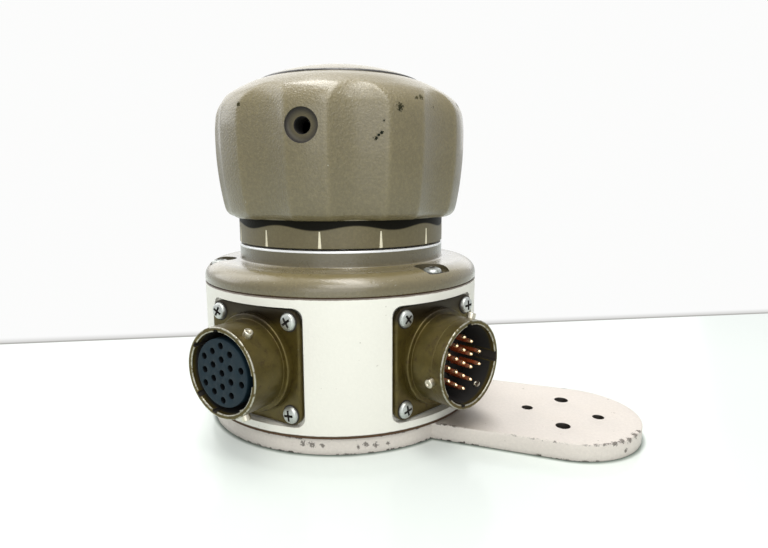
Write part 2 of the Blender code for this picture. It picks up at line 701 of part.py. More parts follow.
def make_case():
    """The round case: a thick sleeve with a flat pocket and a bore for each connector."""
    case = tube("drum_case", CASE_RADIUS, CASE_BORE_RADIUS, CASE_BOTTOM, CASE_TOP, "cream_paint", BIG_STEPS)
    half = FLANGE_SIZE / 2 + POCKET_MARGIN
    wide = CASE_RADIUS
    for azimuth in (SOCKET_AZIMUTH, PIN_AZIMUTH):
        frame = outward_at(azimuth, CONNECTOR_Z)
        far = (wide, half, wide + OVERRUN)
        pocket = box("flat_pocket", (-wide, -half, FLAT_DISTANCE), far, matrix=frame)
        tail = SHELL_TAIL_RADIUS + GAP
        bore = rod("connector_bore", tail, SHELL_BACK - OVERRUN, wide + OVERRUN, None, MEDIUM_STEPS, frame)
        cut(case, pocket, bore)
        for x, y in flange_screw_places():
            place = frame @ Matrix.Translation((x, y, 0))
            hole_radius = FLANGE_SCREW_RADIUS + GAP
            floor = FLANGE_FRONT - FLANGE_SCREW_LENGTH - GAP
            hole = rod("flange_screw_hole", hole_radius, floor, wide, None, TINY_STEPS, place)
            cut(case, hole)
    floor = CASE_TOP - COVER_SCREW_GRIP - GAP
    high = CASE_TOP + OVERRUN
    for azimuth in COVER_SCREW_AZIMUTHS:
        place = upright_at(COVER_SCREW_CIRCLE_RADIUS, azimuth)
        cut(case, rod("cover_thread", THREAD_RADIUS, floor, high, None, TINY_STEPS, place))
    low = CASE_BOTTOM - OVERRUN
    roof = BASE_SCREW_LENGTH + GAP + GAP
    for azimuth in BASE_SCREW_AZIMUTHS:
        place = upright_at(BASE_SCREW_CIRCLE_RADIUS, azimuth)
        cut(case, rod("base_thread", THREAD_RADIUS, low, roof, None, TINY_STEPS, place))


def make_cover():
    """The top cover with its rounded flange, its collar and the seat of the bearing housing."""
    rounding = [
        (CASE_RADIUS - COVER_EDGE_ROUNDING + x, COVER_TOP - COVER_EDGE_ROUNDING + y)
        for x, y in arc((0, 0), COVER_EDGE_ROUNDING, 90.0, 0.0, EDGE_STEPS)
    ]
    profile = [
        (0, COLLAR_TOP), (COLLAR_RADIUS - COLLAR_CHAMFER, COLLAR_TOP),
        (COLLAR_RADIUS, COLLAR_TOP - COLLAR_CHAMFER), (COLLAR_RADIUS, COVER_TOP), *rounding,
        (CASE_RADIUS, COVER_BOTTOM), (0, COVER_BOTTOM),
    ]
    cover = solid_turned("top_cover", profile, "taupe_paint", BIG_STEPS)
    well = rod("cover_well", COLLAR_INNER_RADIUS, COVER_TOP, COLLAR_TOP + OVERRUN, steps=CAVITY_STEPS)
    low = COVER_BOTTOM - OVERRUN
    high = COVER_TOP + OVERRUN
    bore = rod("cover_bore", HOUSING_RADIUS + GAP, low, COLLAR_TOP, steps=MEDIUM_STEPS)
    cut(cover, well, bore)
    floor = COVER_TOP - COVER_RECESS_DEPTH
    for azimuth in COVER_SCREW_AZIMUTHS:
        place = upright_at(COVER_SCREW_CIRCLE_RADIUS, azimuth)
        recess = rod("cover_recess", COVER_RECESS_RADIUS, floor, high, None, SMALL_STEPS, place)
        hole = rod("cover_hole", THREAD_RADIUS, low, COVER_TOP, None, TINY_STEPS, place)
        cut(cover, recess, hole)
    roof = HOUSING_FLANGE_BOTTOM + HOUSING_SCREW_LENGTH + GAP
    for azimuth in HOUSING_SCREW_AZIMUTHS:
        place = upright_at(HOUSING_SCREW_CIRCLE_RADIUS, azimuth)
        cut(cover, rod("housing_thread", THREAD_RADIUS, low, roof, None, TINY_STEPS, place))
    place = upright_at(STOP_CIRCLE_RADIUS, STOP_AZIMUTH)
    seat = COVER_TOP - STOP_PIN_SEAT_DEPTH - GAP
    cut(cover, rod("stop_seat", STOP_PIN_RADIUS + GAP, seat, high, None, SMALL_STEPS, place))


def make_index_ring():
    """The ring under the knob, with its lip and its engraved ticks."""
    profile = [
        (COLLAR_RADIUS, RING_LIP_TOP), (COLLAR_RADIUS, RING_BOTTOM), (RING_INNER_RADIUS, RING_BOTTOM),
        (RING_INNER_RADIUS, RING_LIP_BOTTOM), (RING_LIP_INNER_RADIUS, RING_LIP_BOTTOM),
        (RING_LIP_INNER_RADIUS, RING_LIP_TOP),
    ]
    ring = turned("index_ring", profile, "taupe_paint", BIG_STEPS)
    half = TICK_WIDTH / 2
    low = COLLAR_RADIUS - TICK_DEPTH
    for i in range(TICK_COUNT):
        corner = (low, -half, RING_BOTTOM - OVERRUN)
        far = (COLLAR_RADIUS + OVERRUN, half, RING_BOTTOM + TICK_HEIGHT)
        cut(ring, box("tick", corner, far, matrix=spun(TICK_PHASE + 360.0 * i / TICK_COUNT)))


def flute_cut(azimuth, height):
    """How far the knob's surface is drawn in at an azimuth and a height above the knob's bottom."""
    period = 360.0 / FLUTE_COUNT
    offset = (azimuth - FLUTE_PHASE + period / 2) % period - period / 2
    spoon_start = KNOB_HEIGHT - FLUTE_TOP_DROP - FLUTE_SPOON_HEIGHT
    along = max(0.0, height - spoon_start) / FLUTE_SPOON_HEIGHT
    inside = 1.0 - (offset / FLUTE_HALF_ANGLE) ** 2 - along**2
    return FLUTE_DEPTH * max(0.0, inside)


def make_knob_shell():
    """The hollow knob: a turned solid drawn in at nine flutes, with its cavity and holes cut out."""
    reach = KNOB_RADIUS - CAP_SEAT_RADIUS
    outer = [
        (CAP_SEAT_RADIUS + reach * wide, KNOB_BOTTOM + KNOB_HEIGHT * up) for up, wide in KNOB_PROFILE_SHARES
    ]
    profile = [(0, KNOB_TOP), *outer, (0, KNOB_BOTTOM)]
    body = solid_turned("knob_body", profile, steps=FLUTE_COUNT * FLUTE_STEPS, matrix=spun(FLUTE_PHASE))
    bm = bmesh.new()
    bm.from_mesh(evaluated_mesh(body))
    for vertex in bm.verts:
        radius = math.hypot(vertex.co.x, vertex.co.y)
        if radius > MERGE:
            azimuth = math.degrees(math.atan2(vertex.co.y, vertex.co.x))
            share = 1.0 - flute_cut(azimuth, vertex.co.z - KNOB_BOTTOM) / radius
            vertex.co.x *= share
            vertex.co.y *= share
    shell = add_object("knob_shell", mesh_from(bm, "knob_shell"), "taupe_paint")

    cavity = [
        (0, KNOB_WEB_BOTTOM), (KNOB_NECK_RADIUS - KNOB_CAVITY_CORNER, KNOB_WEB_BOTTOM),
        (KNOB_NECK_RADIUS, KNOB_WEB_BOTTOM - KNOB_CAVITY_CORNER), (KNOB_NECK_RADIUS, KNOB_STEP_Z),
        (KNOB_MOUTH_RADIUS, KNOB_STEP_Z), (KNOB_MOUTH_RADIUS, KNOB_BOTTOM - OVERRUN),
        (0, KNOB_BOTTOM - OVERRUN),
    ]
    opening = rod("cap_opening", CAP_SEAT_RADIUS, KNOB_WEB_TOP, KNOB_TOP + OVERRUN, steps=CAP_STEPS)
    bore = rod("web_bore", KNOB_WEB_BORE_RADIUS, KNOB_WEB_BOTTOM - OVERRUN, KNOB_TOP)
    cut(shell, solid_turned("knob_cavity", cavity, steps=CAVITY_STEPS), opening, bore)
    frame = outward_at(SIDE_HOLE_AZIMUTH, SIDE_HOLE_Z)
    out = KNOB_RADIUS + OVERRUN
    hole = rod("side_hole", SIDE_HOLE_RADIUS, KNOB_NECK_RADIUS - OVERRUN, out, None, SMALL_STEPS, frame)
    floor = KNOB_RADIUS - SIDE_RECESS_DEPTH
    recess = rod("side_recess", SIDE_RECESS_RADIUS, floor, out, None, SMALL_STEPS, frame)
    cut(shell, hole, recess)
    for azimuth in HUB_SCREW_AZIMUTHS:
        place = upright_at(HUB_SCREW_CIRCLE_RADIUS, azimuth)
        cut(shell, web_hole(place))


def web_hole(place):
    """The cutter of a screw hole through the knob's web, with its head's countersink."""
    head = SMALL_SCREW_HEAD_RADIUS + GAP
    high = KNOB_WEB_TOP + OVERRUN
    seat = HUB_SCREW_SEAT - GAP
    low = KNOB_WEB_BOTTOM - OVERRUN
    profile = [(0, high), (head, high), (head, seat), (THREAD_RADIUS, seat), (THREAD_RADIUS, low), (0, low)]
    return solid_turned("web_hole", profile, steps=TINY_STEPS, matrix=place)


def make_cap():
    """The domed cap that closes the knob's top, with its spigot."""
    rim_bottom = KNOB_WEB_TOP + GAP
    spigot = KNOB_WEB_BORE_RADIUS - GAP
    edge_z = KNOB_TOP + CAP_EDGE_RISE
    dome_radius = CAP_RADIUS - CAP_EDGE_INSET
    dome = []
    for i in range(CAP_DOME_STEPS):
        share = i / CAP_DOME_STEPS
        height = edge_z + (CAP_DOME_HEIGHT - CAP_EDGE_RISE) * (1.0 - share**2)
        dome.append((dome_radius * share, height))
    profile = [
        *dome, (dome_radius, edge_z), (CAP_RADIUS, KNOB_TOP), (CAP_RADIUS, rim_bottom), (spigot, rim_bottom),
        (spigot, rim_bottom - CAP_SPIGOT_LENGTH), (0, rim_bottom - CAP_SPIGOT_LENGTH),
    ]
    solid_turned("knob_cap", profile, "taupe_paint", CAP_STEPS)


def make_hub():
    """The hub that joins shaft, index ring and knob, and its set screw."""
    bottom = UPPER_BEARING_Z + BEARING_WIDTH / 2 + GAP
    bore = SHAFT_RADIUS + GAP
    profile = [
        (0, HUB_HEAD_TOP), (HUB_HEAD_RADIUS, HUB_HEAD_TOP), (HUB_HEAD_RADIUS, HUB_HEAD_BOTTOM),
        (HUB_RADIUS, HUB_HEAD_BOTTOM), (HUB_RADIUS, HUB_FLANGE_TOP), (HUB_FLANGE_RADIUS, HUB_FLANGE_TOP),
        (HUB_FLANGE_RADIUS, HUB_FLANGE_BOTTOM), (HUB_RADIUS, HUB_FLANGE_BOTTOM), (HUB_RADIUS, bottom),
        (bore, bottom), (bore, HUB_ROOF), (0, HUB_ROOF),
    ]
    hub = solid_turned("knob_hub", profile, "aluminium")
    frame = outward_at(SIDE_HOLE_AZIMUTH, SIDE_HOLE_Z)
    out = HUB_RADIUS + OVERRUN
    cut(hub, rod("set_screw_hole", SET_SCREW_RADIUS + GAP, SHAFT_RADIUS, out, matrix=frame))
    low = HUB_HEAD_BOTTOM - OVERRUN
    high = HUB_HEAD_TOP + OVERRUN
    for azimuth in HUB_SCREW_AZIMUTHS:
        place = upright_at(HUB_SCREW_CIRCLE_RADIUS, azimuth)
        cut(hub, rod("hub_thread", THREAD_RADIUS, low, high, None, TINY_STEPS, place))
    end = bore + SET_SCREW_LENGTH
    socket = SET_SCREW_SOCKET_RADIUS
    floor = end - SET_SCREW_SOCKET_DEPTH
    profile = [
        (0, floor), (socket, floor), (socket, end), (SET_SCREW_RADIUS, end), (SET_SCREW_RADIUS, bore),
        (0, bore),
    ]
    solid_turned("knob_set_screw", profile, "steel", HOLE_STEPS, frame)


def make_shaft():
    """The main shaft, its nut and the drive gear on its lower end."""
    roof = HUB_ROOF - GAP
    shoulder = GEAR_BOTTOM - GAP
    profile = [
        (0, roof), (SHAFT_RADIUS, roof), (SHAFT_RADIUS, shoulder), (SHAFT_END_RADIUS, shoulder),
        (SHAFT_END_RADIUS, SHAFT_BOTTOM), (0, SHAFT_BOTTOM),
    ]
    solid_turned("main_shaft", profile, "steel", SMALL_STEPS)
    nut_top = shoulder - GAP
    nut = prism("shaft_nut", hexagon(SHAFT_NUT_RADIUS), nut_top - SHAFT_NUT_THICKNESS, nut_top, "steel")
    cut(nut, rod("shaft_nut_bore", SHAFT_END_RADIUS + GAP, SHAFT_BOTTOM - OVERRUN, nut_top + OVERRUN))


def gear(name, teeth, bore, phase, boss_top, finish, matrix):
    """A spur gear with tapered teeth; a tooth's middle lies at the phase."""
    pitch_radius = GEAR_MODULE * teeth / 2
    root = pitch_radius - GEAR_MODULE * DEDENDUM_SHARE
    tip = pitch_radius + GEAR_MODULE * ADDENDUM_SHARE
    root_half = math.degrees(GEAR_MODULE * TOOTH_ROOT_SHARE / 2 / root)
    tip_half = math.degrees(GEAR_MODULE * TOOTH_TIP_SHARE / 2 / tip)
    outline = []
    for i in range(teeth):
        middle = phase + 360.0 * i / teeth
        outline.append(polar(root, middle - root_half))
        outline.append(polar(tip, middle - tip_half))
        outline.append(polar(tip, middle + tip_half))
        outline.append(polar(root, middle + root_half))
    wheel = prism(name, outline, GEAR_BOTTOM, GEAR_TOP, finish, matrix)
    if boss_top:
        join(wheel, rod(name + "_boss", GEAR_BOSS_RADIUS, GEAR_TOP - GAP, boss_top, matrix=matrix))
    cut(wheel, rod(name + "_bore", bore, GEAR_BOTTOM - OVERRUN, GEAR_TOP + OVERRUN, matrix=matrix))


def make_gears():
    """The drive gear on the main shaft, meshing with the potentiometer's gear."""
    boss_top = LOWER_BEARING_Z - BEARING_WIDTH / 2 - GAP
    gear("drive_gear", DRIVE_TEETH, SHAFT_RADIUS + GAP, POT_AZIMUTH, boss_top, "brass", Matrix())
    facing = 180.0 + 180.0 / POT_TEETH
    place = upright_at(GEAR_CENTRES, POT_AZIMUTH)
    gear("pot_gear", POT_TEETH, POT_SPINDLE_RADIUS + GAP, facing, None, "brass", place)


def make_bearing(prefix, middle):
    """A ball bearing as three pieces: two races and the cage with its balls."""
    low = middle - BEARING_WIDTH / 2
    high = middle + BEARING_WIDTH / 2
    tube(prefix + "_bearing_outer", BEARING_RADIUS, OUTER_RACE_BORE_RADIUS, low, high, "steel")
    bore = SHAFT_RADIUS + GAP
    tube(prefix + "_bearing_inner", INNER_RACE_RADIUS, bore, low, high, "steel", SMALL_STEPS)
    circle = BALL_CIRCLE_RADIUS
    section = [polar(BALL_RADIUS, -360.0 * i / BALL_SIDES) for i in range(BALL_SIDES)]
    profile = [(circle + x, middle + z) for x, z in section]
    ring = turned(prefix + "_ball_ring", profile, steps=BALL_COUNT * BALL_STEPS)
    bm = bmesh.new()
    bm.from_mesh(evaluated_mesh(ring))
    period = math.tau / BALL_COUNT
    for vertex in bm.verts:
        azimuth = math.atan2(vertex.co.y, vertex.co.x)
        along = circle * ((azimuth + period / 2) % period - period / 2)
        swell = math.sqrt(max(CAGE_RADIUS**2, BALL_RADIUS**2 - along**2)) / BALL_RADIUS
        middle_point = Vector((circle * math.cos(azimuth), circle * math.sin(azimuth), middle))
        vertex.co = middle_point + (vertex.co - middle_point) * swell
    name = prefix + "_ball_cage"
    add_object(name, mesh_from(bm, name), "steel")


def make_housing():
    """The flanged sleeve under the cover that holds both bearings."""
    pocket = BEARING_RADIUS + GAP
    shoulder = pocket - HOUSING_SHOULDER
    upper = HOUSING_TOP - HOUSING_LIP - BEARING_WIDTH - GAP
    lower = HOUSING_BOTTOM + HOUSING_LIP + BEARING_WIDTH + GAP
    profile = [
        (HOUSING_RADIUS, HOUSING_TOP), (HOUSING_RADIUS, HOUSING_FLANGE_TOP),
        (HOUSING_FLANGE_RADIUS, HOUSING_FLANGE_TOP), (HOUSING_FLANGE_RADIUS, HOUSING_FLANGE_BOTTOM),
        (HOUSING_RADIUS, HOUSING_FLANGE_BOTTOM), (HOUSING_RADIUS, HOUSING_BOTTOM),
        (pocket, HOUSING_BOTTOM), (pocket, lower), (shoulder, lower), (shoulder, upper), (pocket, upper),
        (pocket, HOUSING_TOP),
    ]
    housing = turned("bearing_housing", profile, "aluminium")
    low = HOUSING_FLANGE_BOTTOM - OVERRUN
    high = HOUSING_FLANGE_TOP + OVERRUN
    for azimuth in HOUSING_SCREW_AZIMUTHS:
        place = upright_at(HOUSING_SCREW_CIRCLE_RADIUS, azimuth)
        cut(housing, rod("housing_hole", THREAD_RADIUS, low, high, None, TINY_STEPS, place))
    make_bearing("upper", UPPER_BEARING_Z)
    make_bearing("lower", LOWER_BEARING_Z)


def make_drag():
    """The friction pad in the cover's well, and the disc and spring that the hub presses on it."""
    pad_bottom = COVER_TOP + GAP
    disc_bottom = HOUSING_TOP + GAP
    tube("drag_pad", DRAG_OUTER_RADIUS, DRAG_PAD_BORE_RADIUS, pad_bottom, HOUSING_TOP, "felt")
    disc_top = disc_bottom + DRAG_DISC_THICKNESS
    tube("drag_disc", DRAG_OUTER_RADIUS, HUB_RADIUS + GAP, disc_bottom, disc_top, "steel")
    low = disc_top + GAP + SPRING_WIRE_RADIUS
    high = HUB_FLANGE_BOTTOM - GAP - SPRING_WIRE_RADIUS
    count = SPRING_TURNS * SPRING_STEPS
    points = []
    for i in range(count + 1):
        x, y = polar(SPRING_RADIUS, 360.0 * i / SPRING_STEPS)
        points.append((x, y, low + (high - low) * i / count))
    wire("drag_spring", points, SPRING_WIRE_RADIUS, "steel", sides=1)


def make_stops():
    """The fixed stop pin and the sector under the hub that meets it at each end of the travel."""
    place = upright_at(STOP_CIRCLE_RADIUS, STOP_AZIMUTH)
    low = COVER_TOP - STOP_PIN_SEAT_DEPTH
    high = COVER_TOP + STOP_PIN_RISE
    rod("stop_pin", STOP_PIN_RADIUS, low, high, "steel", SMALL_STEPS, place)
    pin_half = math.degrees(math.asin(STOP_PIN_RADIUS / STOP_CIRCLE_RADIUS))
    half = 180.0 - STOP_TRAVEL - pin_half - STOP_MARGIN
    middle = STOP_AZIMUTH + 180.0
    inner = STOP_CIRCLE_RADIUS - STOP_PIN_RADIUS
    outer = STOP_CIRCLE_RADIUS + STOP_PIN_RADIUS
    outline = arc((0, 0), outer, middle - half, middle + half, STOP_SECTOR_STEPS)
    outline += arc((0, 0), inner, middle + half, middle - half, STOP_SECTOR_STEPS)
    prism("stop_sector", outline, high - STOP_OVERLAP, HUB_FLANGE_BOTTOM - GAP, "steel")


def rounded_square(size, corner):
    """The outline of a square with rounded corners."""
    half = size / 2 - corner
    outline = []
    for i, (x, y) in enumerate(((1, 1), (-1, 1), (-1, -1), (1, -1))):
        outline += arc((x * half, y * half), corner, 90.0 * i, 90.0 * (i + 1), CORNER_STEPS)
    return outline


def flange_screw_places():
    """The four screw centres of a connector's flange."""
    half = FLANGE_SCREW_SPACING / 2
    return [(x * half, y * half) for x in (-1, 1) for y in (-1, 1)]


def make_shell(name, azimuth, lug_clocks):
    """A connector's shell: square flange, boss, barrel with keyways, tail and bayonet lugs."""
    frame = outward_at(azimuth, CONNECTOR_Z)
    outline = rounded_square(FLANGE_SIZE, FLANGE_CORNER)
    shell = prism(name, outline, FLANGE_BACK, FLANGE_FRONT, "olive_plating", frame)
    inside_wall = (SHELL_RADIUS + SHELL_BORE_RADIUS) / 2
    low = FLANGE_BACK - OVERRUN
    high = FLANGE_FRONT + OVERRUN
    cut(shell, rod(name + "_opening", inside_wall, low, high, None, MEDIUM_STEPS, frame))
    boss = FLANGE_FRONT + BOSS_HEIGHT
    root = FLANGE_BACK + GAP
    barrel = [
        (SHELL_BORE_RADIUS, SHELL_FRONT), (SHELL_RADIUS, SHELL_FRONT), (SHELL_RADIUS, boss),
        (BOSS_RADIUS, boss), (BOSS_RADIUS, root), (SHELL_TAIL_RADIUS, root),
        (SHELL_TAIL_RADIUS, SHELL_BACK), (SHELL_BORE_RADIUS, SHELL_BACK),
    ]
    join(shell, turned(name + "_barrel", barrel, steps=MEDIUM_STEPS, matrix=frame))
    lug_top = SHELL_RADIUS + LUG_RISE
    for clock in lug_clocks:
        x, y = clock_place(1.0, clock)
        along = Vector((x, y, 0)).to_track_quat("Z", "Y").to_matrix().to_4x4()
        place = frame @ Matrix.Translation((0, 0, SHELL_FRONT - LUG_SETBACK)) @ along
        join(shell, rod(name + "_lug", LUG_RADIUS, inside_wall, lug_top, None, LUG_SIDES, place))
    keyways = [(MAIN_KEYWAY_CLOCK, MAIN_KEYWAY_WIDTH)]
    keyways += [(clock, KEYWAY_WIDTH) for clock in KEYWAY_CLOCKS]
    for clock, width in keyways:
        place = frame @ spun(90.0 - clock)
        corner = (SHELL_BORE_RADIUS - OVERRUN, -width / 2, SHELL_FRONT - KEYWAY_LENGTH)
        far = (SHELL_BORE_RADIUS + KEYWAY_DEPTH, width / 2, SHELL_FRONT + OVERRUN)
        cut(shell, box(name + "_keyway", corner, far, matrix=place))
    for x, y in flange_screw_places():
        place = frame @ Matrix.Translation((x, y, 0))
        cut(shell, rod(name + "_hole", FLANGE_HOLE_RADIUS, low, high, None, TINY_STEPS, place))


def contact_places():
    """The centres of the eighteen contacts, seen from outside."""
    places = []
    last = len(CONTACT_COLUMN_COUNTS) - 1
    for column, count in enumerate(CONTACT_COLUMN_COUNTS):
        x = CONTACT_COLUMN_PITCH * (column - last / 2)
        if column == last:
            x = CONTACT_LAST_COLUMN_X
        for row in range(count):
            places.append((x, CONTACT_PITCH * (row - (count - 1) / 2)))
    return places


def rod_field(name, radius, low, high, matrix):
    """A like upright rod at each contact's place, all as one hidden operand."""
    bm = bmesh.new()
    for x, y in contact_places():
        bmesh.ops.create_cone(
            bm, cap_ends=True, segments=CONTACT_SIDES, radius1=radius, radius2=radius, depth=high - low,
            matrix=Matrix.Translation((x, y, (low + high) / 2)),
        )
    return add_object(name, mesh_from(bm, name), matrix=matrix)


def make_inserts():
    """The two contact inserts: sockets nearly flush in one shell, pins deep in the other."""
    back = SHELL_BACK + GAP
    frame = outward_at(SOCKET_AZIMUTH, CONNECTOR_Z)
    nose = SHELL_FRONT - INSERT_NOSE_SETBACK
    step = SHELL_FRONT - KEYWAY_LENGTH - GAP
    profile = [
        (0, nose), (INSERT_NOSE_RADIUS, nose), (INSERT_NOSE_RADIUS, step), (INSERT_BODY_RADIUS, step),
        (INSERT_BODY_RADIUS, back), (0, back),
    ]
    insert = solid_turned("socket_insert", profile, "grey_rubber", MEDIUM_STEPS, frame)
    floor = nose - SOCKET_HOLE_DEPTH
    cut(insert, rod_field("socket_holes", SOCKET_HOLE_RADIUS, floor, nose + OVERRUN, frame))

    frame = outward_at(PIN_AZIMUTH, CONNECTOR_Z)
    face = SHELL_FRONT - PIN_FACE_DEPTH
    profile = [(0, face), (INSERT_BODY_RADIUS, face), (INSERT_BODY_RADIUS, back), (0, back)]
    insert = solid_turned("pin_insert", profile, "black_plastic", MEDIUM_STEPS, frame)
    tips = SHELL_FRONT - PIN_TIP_SETBACK
    join(insert, rod_field("pin_contacts", PIN_CONTACT_RADIUS, face - GAP, tips, frame))


def make_pot():
    """The potentiometer, its nut, its spindle and the bracket that hangs it on the housing."""
    place = upright_at(GEAR_CENTRES, POT_AZIMUTH)
    bore = POT_SPINDLE_RADIUS + GAP
    spindle_top = POT_BOTTOM + POT_SPINDLE_DEPTH
    profile = [
        (0, POT_TOP), (POT_RADIUS, POT_TOP), (POT_RADIUS, POT_BOTTOM), (POT_BUSH_RADIUS, POT_BOTTOM),
        (POT_BUSH_RADIUS, POT_BUSH_BOTTOM), (bore, POT_BUSH_BOTTOM), (bore, spindle_top + GAP),
        (0, spindle_top + GAP),
    ]
    body = solid_turned("pot_body", profile, "aluminium", MEDIUM_STEPS, place)
    half = POT_TERMINAL_WIDTH / 2
    z = POT_BOTTOM + POT_TERMINAL_Z
    low = (-half, POT_RADIUS - POT_TERMINAL_THICKNESS, z)
    high = (half, POT_RADIUS + POT_TERMINAL_LENGTH, z + POT_TERMINAL_THICKNESS)
    join(body, box("pot_terminals", low, high, matrix=place))
    rod("pot_spindle", POT_SPINDLE_RADIUS, GEAR_BOTTOM, spindle_top, "steel", SMALL_STEPS, place)
    nut_top = POT_NUT_BOTTOM + POT_NUT_THICKNESS
    nut = prism("pot_nut", hexagon(POT_NUT_RADIUS), POT_NUT_BOTTOM, nut_top, "brass", place)
    bush = POT_BUSH_RADIUS + GAP
    cut(nut, rod("pot_nut_bore", bush, POT_NUT_BOTTOM - OVERRUN, nut_top + OVERRUN, matrix=place))

    big = HOUSING_RADIUS + GAP + BRACKET_RING_WIDTH
    lean = math.degrees(math.acos((big - BRACKET_END_RADIUS) / GEAR_CENTRES))
    outline = arc((0, 0), big, lean, 360.0 - lean, SMALL_STEPS)
    outline += arc((GEAR_CENTRES, 0), BRACKET_END_RADIUS, -lean, lean, TINY_STEPS)
    bracket = prism("pot_bracket", outline, BRACKET_BOTTOM, BRACKET_TOP, "aluminium", spun(POT_AZIMUTH))
    low = BRACKET_BOTTOM - OVERRUN
    high = BRACKET_TOP + OVERRUN
    cut(bracket, rod("bracket_housing_bore", HOUSING_RADIUS + GAP, low, high, None, MEDIUM_STEPS))
    cut(bracket, rod("bracket_pot_bore", bush, low, high, matrix=place))


def make_board():
    """The circuit board on its two standoffs."""
    board = rod("circuit_board", BOARD_RADIUS, BOARD_BOTTOM, BOARD_TOP, "board_green", BIG_STEPS)
    half = Vector((BOARD_CHIP_LENGTH, BOARD_CHIP_WIDTH, BOARD_CHIP_HEIGHT + GAP)) / 2
    middle = Vector((BOARD_CHIP_INSET - BOARD_RADIUS, -BOARD_CHIP_OFFSET, BOARD_TOP - GAP + half.z))
    join(board, box("board_chip", middle - half, middle + half))
    for number, azimuth in enumerate(STANDOFF_AZIMUTHS, 1):
        place = upright_at(STANDOFF_CIRCLE_RADIUS, azimuth)
        top = CASE_BOTTOM + STANDOFF_HEIGHT
        prism(f"board_standoff_{number}", hexagon(STANDOFF_RADIUS), CASE_BOTTOM, top, "brass", place)


def make_wires():
    """Three short looms inside the case, from each connector and the potentiometer to the board."""
    start = SHELL_BACK
    bend_z = CONNECTOR_Z - WIRE_RADIUS / 2
    end_z = BOARD_TOP + GAP
    for name, azimuth in (("socket_wires", SOCKET_AZIMUTH), ("pin_wires", PIN_AZIMUTH)):
        corners = [
            (start, 0, CONNECTOR_Z), (start - WIRE_BEND / 2, 0, bend_z),
            (WIRE_RUN_RADIUS, 0, CONNECTOR_Z - WIRE_BEND), (WIRE_RUN_RADIUS, 0, end_z + WIRE_BEND),
            (WIRE_RUN_RADIUS, 0, end_z),
        ]
        wire(name, smooth_path(corners, WIRE_STEPS), WIRE_RADIUS, "wire_sleeve", spun(azimuth))
    side = POT_RADIUS + POT_TERMINAL_LENGTH + GAP
    drop = side + WIRE_BEND * WIRE_DROP_SHARE
    z = POT_BOTTOM + POT_TERMINAL_Z + POT_TERMINAL_THICKNESS / 2
    corners = [
        (0, side, z), (0, side + WIRE_BEND / 2, z - WIRE_RADIUS / 2), (0, drop, z - WIRE_BEND),
        (0, drop, end_z + WIRE_BEND), (0, drop, end_z),
    ]
    place = upright_at(GEAR_CENTRES, POT_AZIMUTH)
    wire("pot_wires", smooth_path(corners, WIRE_STEPS), WIRE_RADIUS, "wire_sleeve", place)


def place_screws(prefix, mesh, finish, frames):
    """One object for each screw, all on one mesh."""
    for number, frame in enumerate(frames, 1):
        add_object(f"{prefix}_{number}", mesh, finish, frame)


def make_screws():
    """Every screw, seated 0.3 mm off its face."""
    flange_mesh = screw_mesh(
        "flange_screw", FLANGE_SCREW_RADIUS, FLANGE_SCREW_LENGTH, FLANGE_SCREW_HEAD_RADIUS,
        FLANGE_SCREW_HEAD_HEIGHT,
    )
    for prefix, azimuth in (("socket_screw", SOCKET_AZIMUTH), ("pin_screw", PIN_AZIMUTH)):
        frame = outward_at(azimuth, CONNECTOR_Z)
        seat = FLANGE_FRONT + GAP
        seats = [frame @ Matrix.Translation((x, y, seat)) for x, y in flange_screw_places()]
        place_screws(prefix, flange_mesh, "zinc", seats)

    mesh = screw_mesh("cover_screw", SMALL_SCREW_RADIUS, COVER_SCREW_LENGTH, COVER_SCREW_HEAD_RADIUS,
                      COVER_SCREW_HEAD_HEIGHT)
    seat = COVER_TOP - COVER_RECESS_DEPTH + GAP
    frames = [upright_at(COVER_SCREW_CIRCLE_RADIUS, azimuth, seat) for azimuth in COVER_SCREW_AZIMUTHS]
    place_screws("cover_screw", mesh, "zinc", frames)

    flip = Matrix.Rotation(math.pi, 4, "X")
    mesh = screw_mesh("base_screw", FLANGE_SCREW_RADIUS, BASE_SCREW_LENGTH, BASE_SCREW_HEAD_RADIUS, 0,
                      BASE_SCREW_SINK, slotted=False)
    frames = [upright_at(BASE_SCREW_CIRCLE_RADIUS, azimuth, GAP) @ flip for azimuth in BASE_SCREW_AZIMUTHS]
    place_screws("base_screw", mesh, "zinc", frames)

    mesh = screw_mesh("housing_screw", SMALL_SCREW_RADIUS, HOUSING_SCREW_LENGTH, SMALL_SCREW_HEAD_RADIUS,
                      SMALL_SCREW_HEAD_HEIGHT, slotted=False)
    seat = HOUSING_FLANGE_BOTTOM - GAP
    frames = [upright_at(HOUSING_SCREW_CIRCLE_RADIUS, a, seat) @ flip for a in HOUSING_SCREW_AZIMUTHS]
    place_screws("housing_screw", mesh, "zinc", frames)

    mesh = screw_mesh("hub_screw", SMALL_SCREW_RADIUS, HUB_SCREW_LENGTH, SMALL_SCREW_HEAD_RADIUS,
                      SMALL_SCREW_HEAD_HEIGHT, slotted=False)
    frames = [
        upright_at(HUB_SCREW_CIRCLE_RADIUS, azimuth, HUB_SCREW_SEAT) for azimuth in HUB_SCREW_AZIMUTHS
    ]
    place_screws("hub_screw", mesh, "zinc", frames)


def main():
    """Build every piece."""
    clear_scene()
    make_base_plate()
    make_case()
    make_cover()
    make_index_ring()
    make_knob_shell()
    make_cap()
    make_hub()
    make_shaft()
    make_gears()
    make_housing()
    make_drag()
    make_stops()
    make_shell("socket_shell", SOCKET_AZIMUTH, SOCKET_LUG_CLOCKS)
    make_shell("pin_shell", PIN_AZIMUTH, PIN_LUG_CLOCKS)
    make_inserts()
    make_pot()
    make_board()
    make_wires()
    make_screws()
    bpy.context.view_layer.update()


main()
